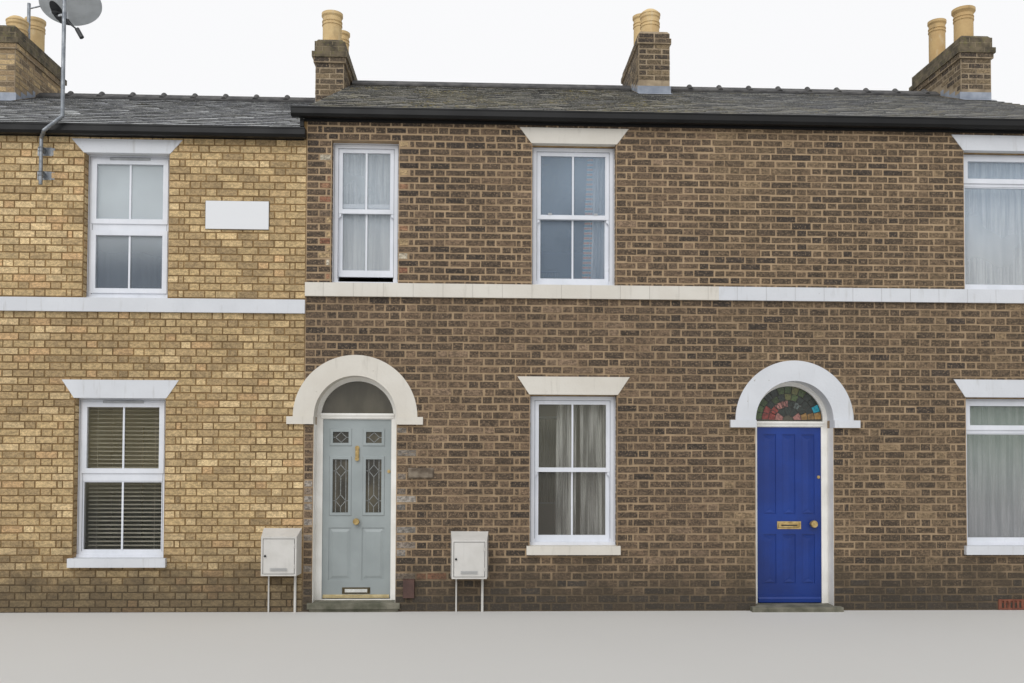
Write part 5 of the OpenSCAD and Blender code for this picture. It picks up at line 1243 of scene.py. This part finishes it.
for key in twins:
    low, high = windows[key][2] + 0.03, windows[key][3] - 0.06
    for a, b in ((-0.44, -0.10), (0.10, 0.44)):
        rearCurtains.append((key, a, b, low, high, 6, 0.018, 0.0, "cream_cloth"))

# Depth of the rails and of the cloth, half the size of a rail, how far it reaches past a window, the length
# of its ends, and how far the folds sway at the foot
hang = {"y": -3.478, "railHalf": 0.008, "past": 0.05, "end": 0.02, "sway": 0.006}


# Hanging cloth: y follows a sine across the width whose phase wanders and whose depth grows towards the
# foot
def buildCurtain(word, number, key, a, b, low, high, folds, depth, lean, cloth):
    u = np.linspace(0, 1, folds * 12 + 1)[None]
    v = np.linspace(0, 1, 13)[:, None]
    turn = 2 * np.pi * folds * u
    wander = 0.9 * np.sin(2.1 * np.pi * u + number) + 0.5 * v * np.sin(5 * u + number)
    sway = hang["sway"] * v * np.sin(turn + 1.3) * (depth > 0)
    x = windows[key][0] + a + (b - a) * u + lean * v * (1 - 0.6 * u) + sway
    y = hang["y"] + depth * (0.45 + 0.55 * v) * np.sin(turn + wander)
    z = high - (high - low) * v + 0 * u
    points = np.stack([x, y, z], axis=-1)
    i, j = np.meshgrid(np.arange(12), np.arange(u.size - 1), indexing="ij")
    at = (i * u.size + j).ravel()
    mesh = (points.reshape(-1, 3), np.column_stack([at, at + u.size, at + u.size + 1, at + 1]))
    if word == "rear":
        mesh = mirrored(mesh)
    thing = piece("%s_curtain_%d" % (word, number), *mesh, cloths[cloth], smooth=True)
    held = "hung" if depth == 0 else "gathered"
    round(high - low, 3)
    word + "_curtain_rails"


# Square rails over the windows, held to the inner wall face at both ends
def railSpans(rows):
    spans = []
    h, y = hang["railHalf"], hang["y"]
    for key in sorted({r[0] for r in rows}):
        x, w, low, high = windows[key]
        foot = max(r[4] for r in rows if r[0] == key)
        a, b, top = x - w / 2 - hang["past"], x + w / 2 + hang["past"], foot + 2 * h
        spans.append((a, y - h, foot - 0.002, b, y + h, top))
        for end in (a, b - hang["end"]):
            spans.append((end, -row["inner"] - 0.001, foot, end + hang["end"], y, top))
    return spans


piece("front_curtain_rails", *boxes(railSpans(curtains)), paints["rail_metal"])
piece("rear_curtain_rails", *mirrored(boxes(railSpans(rearCurtains))), paints["rail_metal"])
for word, rows in (("front", curtains), ("rear", rearCurtains)):
    for number, line in enumerate(rows):
        buildCurtain(word, number, *line)
print("curtains hung")

# Leaded lights of the grey door: middles, half width and heights of the tall and the small panes, margin,
# width of a lead, how far the tall pane's diamonds lie from its ends, and half the height and width of each
# diamond
leads = {"middles": (-0.181, 0.181), "half": 0.086, "tall": (1.014, 1.673), "small": (1.779, 1.975),
         "margin": 0.030, "wide": 0.0075, "from": 0.165, "diamond": (0.066, 0.056),
         "smallDiamond": (0.055, 0.060)}


# Diamond round a point, and a lead from it to each side of the pane
def diamond(x, z, tip, wide):
    half = leads["half"]
    return [(x, z - tip, x + wide, z), (x + wide, z, x, z + tip), (x, z + tip, x - wide, z),
            (x - wide, z, x, z - tip), (x - half, z, x - wide, z), (x + wide, z, x + half, z)]


# Lead lines: margins, a middle line, a diamond near each end of the tall pane and one in the small pane
def leadLines(x):
    half, m = leads["half"], leads["margin"]
    low, high = leads["tall"]
    first, last = low + leads["from"], high - leads["from"]
    tip = leads["diamond"][0]
    lines = [(side, low, side, high) for side in (x - half + m, x + half - m)]
    lines += [(x - half, z, x + half, z) for z in (low + m, high - m)]
    lines += diamond(x, first, *leads["diamond"]) + diamond(x, last, *leads["diamond"])
    lines += [(x, a, x, b) for a, b in ((low, first - tip), (first + tip, last - tip), (last + tip, high))]
    return lines + diamond(x, sum(leads["small"]) / 2, *leads["smallDiamond"])


lines = [line for shift in leads["middles"] for line in leadLines(doorways["grey"][0] + shift)]
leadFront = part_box("grey_door_glass")[0].y
piece("door_leads", *bars(lines, leads["wide"], leadFront - 0.002, leadFront + 0.0005), paints["lead_came"],
      "grey_door", slot="lead")

# Patterned fanlight over the blue door: radii of its rings, panes in each, gap between rings, and the turns
# left out at the foot and at both ends of a pane
fan = {"radii": (0.060, 0.150, 0.225, 0.300, 0.382), "parts": (5, 8, 11, 13), "gap": 0.004, "foot": 0.03,
       "seam": 0.012, "cameFoot": 0.02, "came": 0.006}
fanTones = {"green": (70, 84, 50), "olive": (96, 96, 58), "dark": (48, 54, 48), "red": (138, 66, 58),
            "pink": (150, 104, 96), "amber": (140, 108, 62), "cyan": (30, 140, 160), "grey": (92, 100, 96)}

# Leaves of lead: how many, the turn left out at both ends, distance from the middle, half length and half
# width
leaves = {"count": 6, "ends": 0.5, "radius": 0.187, "long": 0.034, "wide": 0.018}


# Colour of a fanlight pane by its turn and ring: warm at the left, green above, one cyan patch low at the
# right
def fanColour(turn, ring):
    if turn < 0.42 and ring > 0:
        return "cyan" if ring == 3 and turn > 0.18 else "amber"
    if turn > 2.45:
        return ("pink", "red", "red", "green")[ring]
    return dice.choice([("dark", "pink", "grey"), ("dark", "red", "grey", "pink"), ("dark", "green", "olive"),
                        ("green", "olive", "dark")][ring])


# Lines from each point of a curve to the next
def chain(points):
    return [(*a, *b) for a, b in zip(points[:-1], points[1:])]


# Each pane is a part of a ring, five points along its inner edge and five along its outer one, with a
# thickness
def buildFan():
    x, w, low, spring = doorways["blue"]
    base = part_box("fanlights")[0].y
    bottom = spring + 0.004

    def arc(radius, turns):
        heights = np.maximum(bottom + radius * np.sin(turns), bottom)
        return np.column_stack([x + radius * np.cos(turns), heights])

    i = np.arange(4)
    flat = np.column_stack([i, i + 5, i + 6, i + 1])
    side = np.column_stack([i, i + 1, i + 11, i + 10])
    ends = [[10, 15, 5, 0], [4, 9, 19, 14]]
    faces = np.concatenate([flat[:, ::-1], flat + 10, side[:, ::-1], side + 5, ends])[:, ::-1]
    parts, colours, cames = [], [], []
    for ring, count in enumerate(fan["parts"]):
        r0, r1 = fan["radii"][ring] + fan["gap"] / 2, fan["radii"][ring + 1] - fan["gap"] / 2
        turns = np.linspace(fan["foot"], math.pi - fan["foot"], count + 1)
        for first, last in zip(turns[:-1], turns[1:]):
            t = np.linspace(first + fan["seam"], last - fan["seam"], 5)
            shape = np.concatenate([arc(r0, t), arc(r1, t)])
            points = [np.insert(shape, 1, y, axis=1) for y in (base - 0.0020, base + 0.0004)]
            parts.append((np.concatenate(points), faces))
            shade = tones([fanTones[fanColour((first + last) / 2, ring)]]) * dice.normal(1, 0.12)
            colours.append(np.tile(shade.clip(0, 1), (len(faces), 1)))
            cames += chain(np.concatenate([arc(r0, [first]), arc(r1, [first])]))
    p = Paint("stained_glass", Roughness=0.15)
    colour = p.mix(p.patches(30, 4, 0.3, 0.7), p.dim(p.own("shade"), 0.6), p.dim(p.own("shade"), 1.3))
    glass = p.coat(colour, height=p.noise(60, 3), depth=0.002)
    piece("fan_panes", *joined(parts), glass, colours=np.concatenate(colours), slot="fanlight_glass")
    for radius in fan["radii"]:
        cames += chain(arc(radius, np.linspace(fan["cameFoot"], math.pi - fan["cameFoot"], 25)))
    t = np.linspace(0, 2 * np.pi, 9)
    along, across = leaves["long"] * np.cos(t), leaves["wide"] * np.sin(t)
    for turn in np.linspace(leaves["ends"], math.pi - leaves["ends"], leaves["count"]):
        c, s = math.cos(turn), math.sin(turn)
        cames += chain(np.column_stack([x + leaves["radius"] * c + along * c - across * s,
                                        bottom + leaves["radius"] * s + along * s + across * c]))
    lead = bars(cames, fan["came"], base - 0.0042, base - 0.0005)
    piece("fan_cames", *lead, paints["dark_came"], slot="lead")


buildFan()
print("door lights leaded")

# Peaked ends of the panels of the blue door: middles and half width of the three panels across, foot and
# height of each row, how far a peak reaches along the panel, thickness, depth of the door's face and inset
# of the peaks
bluePanels = {"middles": (-0.218, 0.0, 0.218), "half": 0.060, "rows": ((0.268, 0.547), (1.039, 0.892)),
              "peak": 0.045, "thick": 0.004, "face": -3.5475, "inset": 0.014}


# Low pyramids: a base along the end of the panel and a point towards its middle
def panelPeaks():
    points, faces = [], []
    back, front = bluePanels["face"], bluePanels["face"] - bluePanels["thick"]
    for middle in bluePanels["middles"]:
        x = doorways["blue"][0] + middle
        a, b = x - bluePanels["half"], x + bluePanels["half"]
        for low, high in bluePanels["rows"]:
            for z, way in ((low + bluePanels["inset"], 1), (low + high - bluePanels["inset"], -1)):
                tip = z + way * bluePanels["peak"]
                points.append([(a, back, z), (b, back, z), (x, back, tip), (x, front, z + way * 0.004)])
                faces.append([f[::way] for f in ([0, 1, 3], [1, 2, 3], [2, 0, 3], [0, 2, 1])])
    faces = np.array(faces) + 4 * np.arange(len(faces))[:, None, None]
    return np.array(points).reshape(-1, 3), faces.reshape(-1, 3)


piece("panel_peaks", *panelPeaks(), paints["blue_paint"], "blue_door", slot="blue_paint")

# Each meter door's middle and foot; slots on it as count, height of the first above the foot, distance,
# height and half length; its lock as shift, height and radius
meters = {"left_meter_door": (-2.345, 0.412), "right_meter_door": (-0.341, 0.378)}
slots = {"count": 3, "first": 0.055, "apart": 0.012, "high": 0.004, "half": 0.09}
lock = {"shift": -0.140, "up": 0.21, "radius": 0.012}

for body, (x, low) in meters.items():
    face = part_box(body)[0].y
    feet = [low + slots["first"] + slots["apart"] * n for n in range(slots["count"])]
    a, b = x - slots["half"], x + slots["half"]
    spans = [(a, face - 0.0012, z, b, face + 0.001, z + slots["high"]) for z in feet]
    piece(body + "_slots", *boxes(spans), paints["vent_plastic"], body, slot="meter_plastic")
    path = [(x + lock["shift"], face + reach, low + lock["up"]) for reach in (0.002, -0.004)]
    rodPiece(body + "_lock", [path], lock["radius"], paints["black_part"], body, "meter_plastic", 16)

# Mast: its middle, heights of its two plates, half their width and height, their depths, the turn of the
# bolts round the mast and their radius
fittings = {"mast": (-4.923, -3.830), "plates": (4.670, 4.930), "half": (0.075, 0.045),
            "depths": (-3.748, -3.7405), "turn": 0.026, "bolt": 0.004}


# Plates on the wall, and two bent bolts round the mast at each
def mastFittings():
    x, y = fittings["mast"]
    (wide, high), (front, back), reach = fittings["half"], fittings["depths"], fittings["turn"]
    spans, paths = [], []
    for z in fittings["plates"]:
        spans.append((x - wide, front, z - high, x + wide, back, z + high))
        turn = np.linspace(-0.5 * math.pi, 0.5 * math.pi, 9)
        for level in (z - 0.02, z + 0.02):
            arc = [(x + reach * math.sin(t), y - reach * math.cos(t), level) for t in turn]
            paths.append([(x - reach, y + 0.05, level)] + arc + [(x + reach, y + 0.05, level)])
    piece("mast_plates", *boxes(spans), paints["galvanised"], slot="galvanised")
    rodPiece("mast_bolts", paths, fittings["bolt"], paints["galvanised"], slot="galvanised", sides=8)


mastFittings()

# Silver flap in the grey door's letter plate and a dark slot in the blue door's: middle, half width, foot,
# head
flaps = {"grey_door": (doorways["grey"][0], 0.122, 0.180, 0.216, "silver"),
         "blue_door": (doorways["blue"][0], 0.090, 0.909, 0.923, "dark_came")}
plateFront = -3.5620
for body, (x, half, low, high, finish) in flaps.items():
    span = (x - half, plateFront - 0.0015, low, x + half, plateFront + 0.001, high)
    piece(body + "_flap", *boxes([span]), paints[finish], body, slot="brass")
print("small fittings placed")


# Pale level floor
def addFloor():
    p = Paint("floor", Roughness=0.9)
    mesh = bpy.data.meshes.new("floor")
    mesh.from_pydata([(-30, -30, 0), (30, -30, 0), (30, 30, 0), (-30, 30, 0)], [], [[0, 1, 2, 3]])
    mesh.materials.append(p.coat(p.mix(p.noise(0.8, 3) * 0.3, (206, 204, 200), (196, 194, 190))))
    placed("floor", mesh)


addFloor()
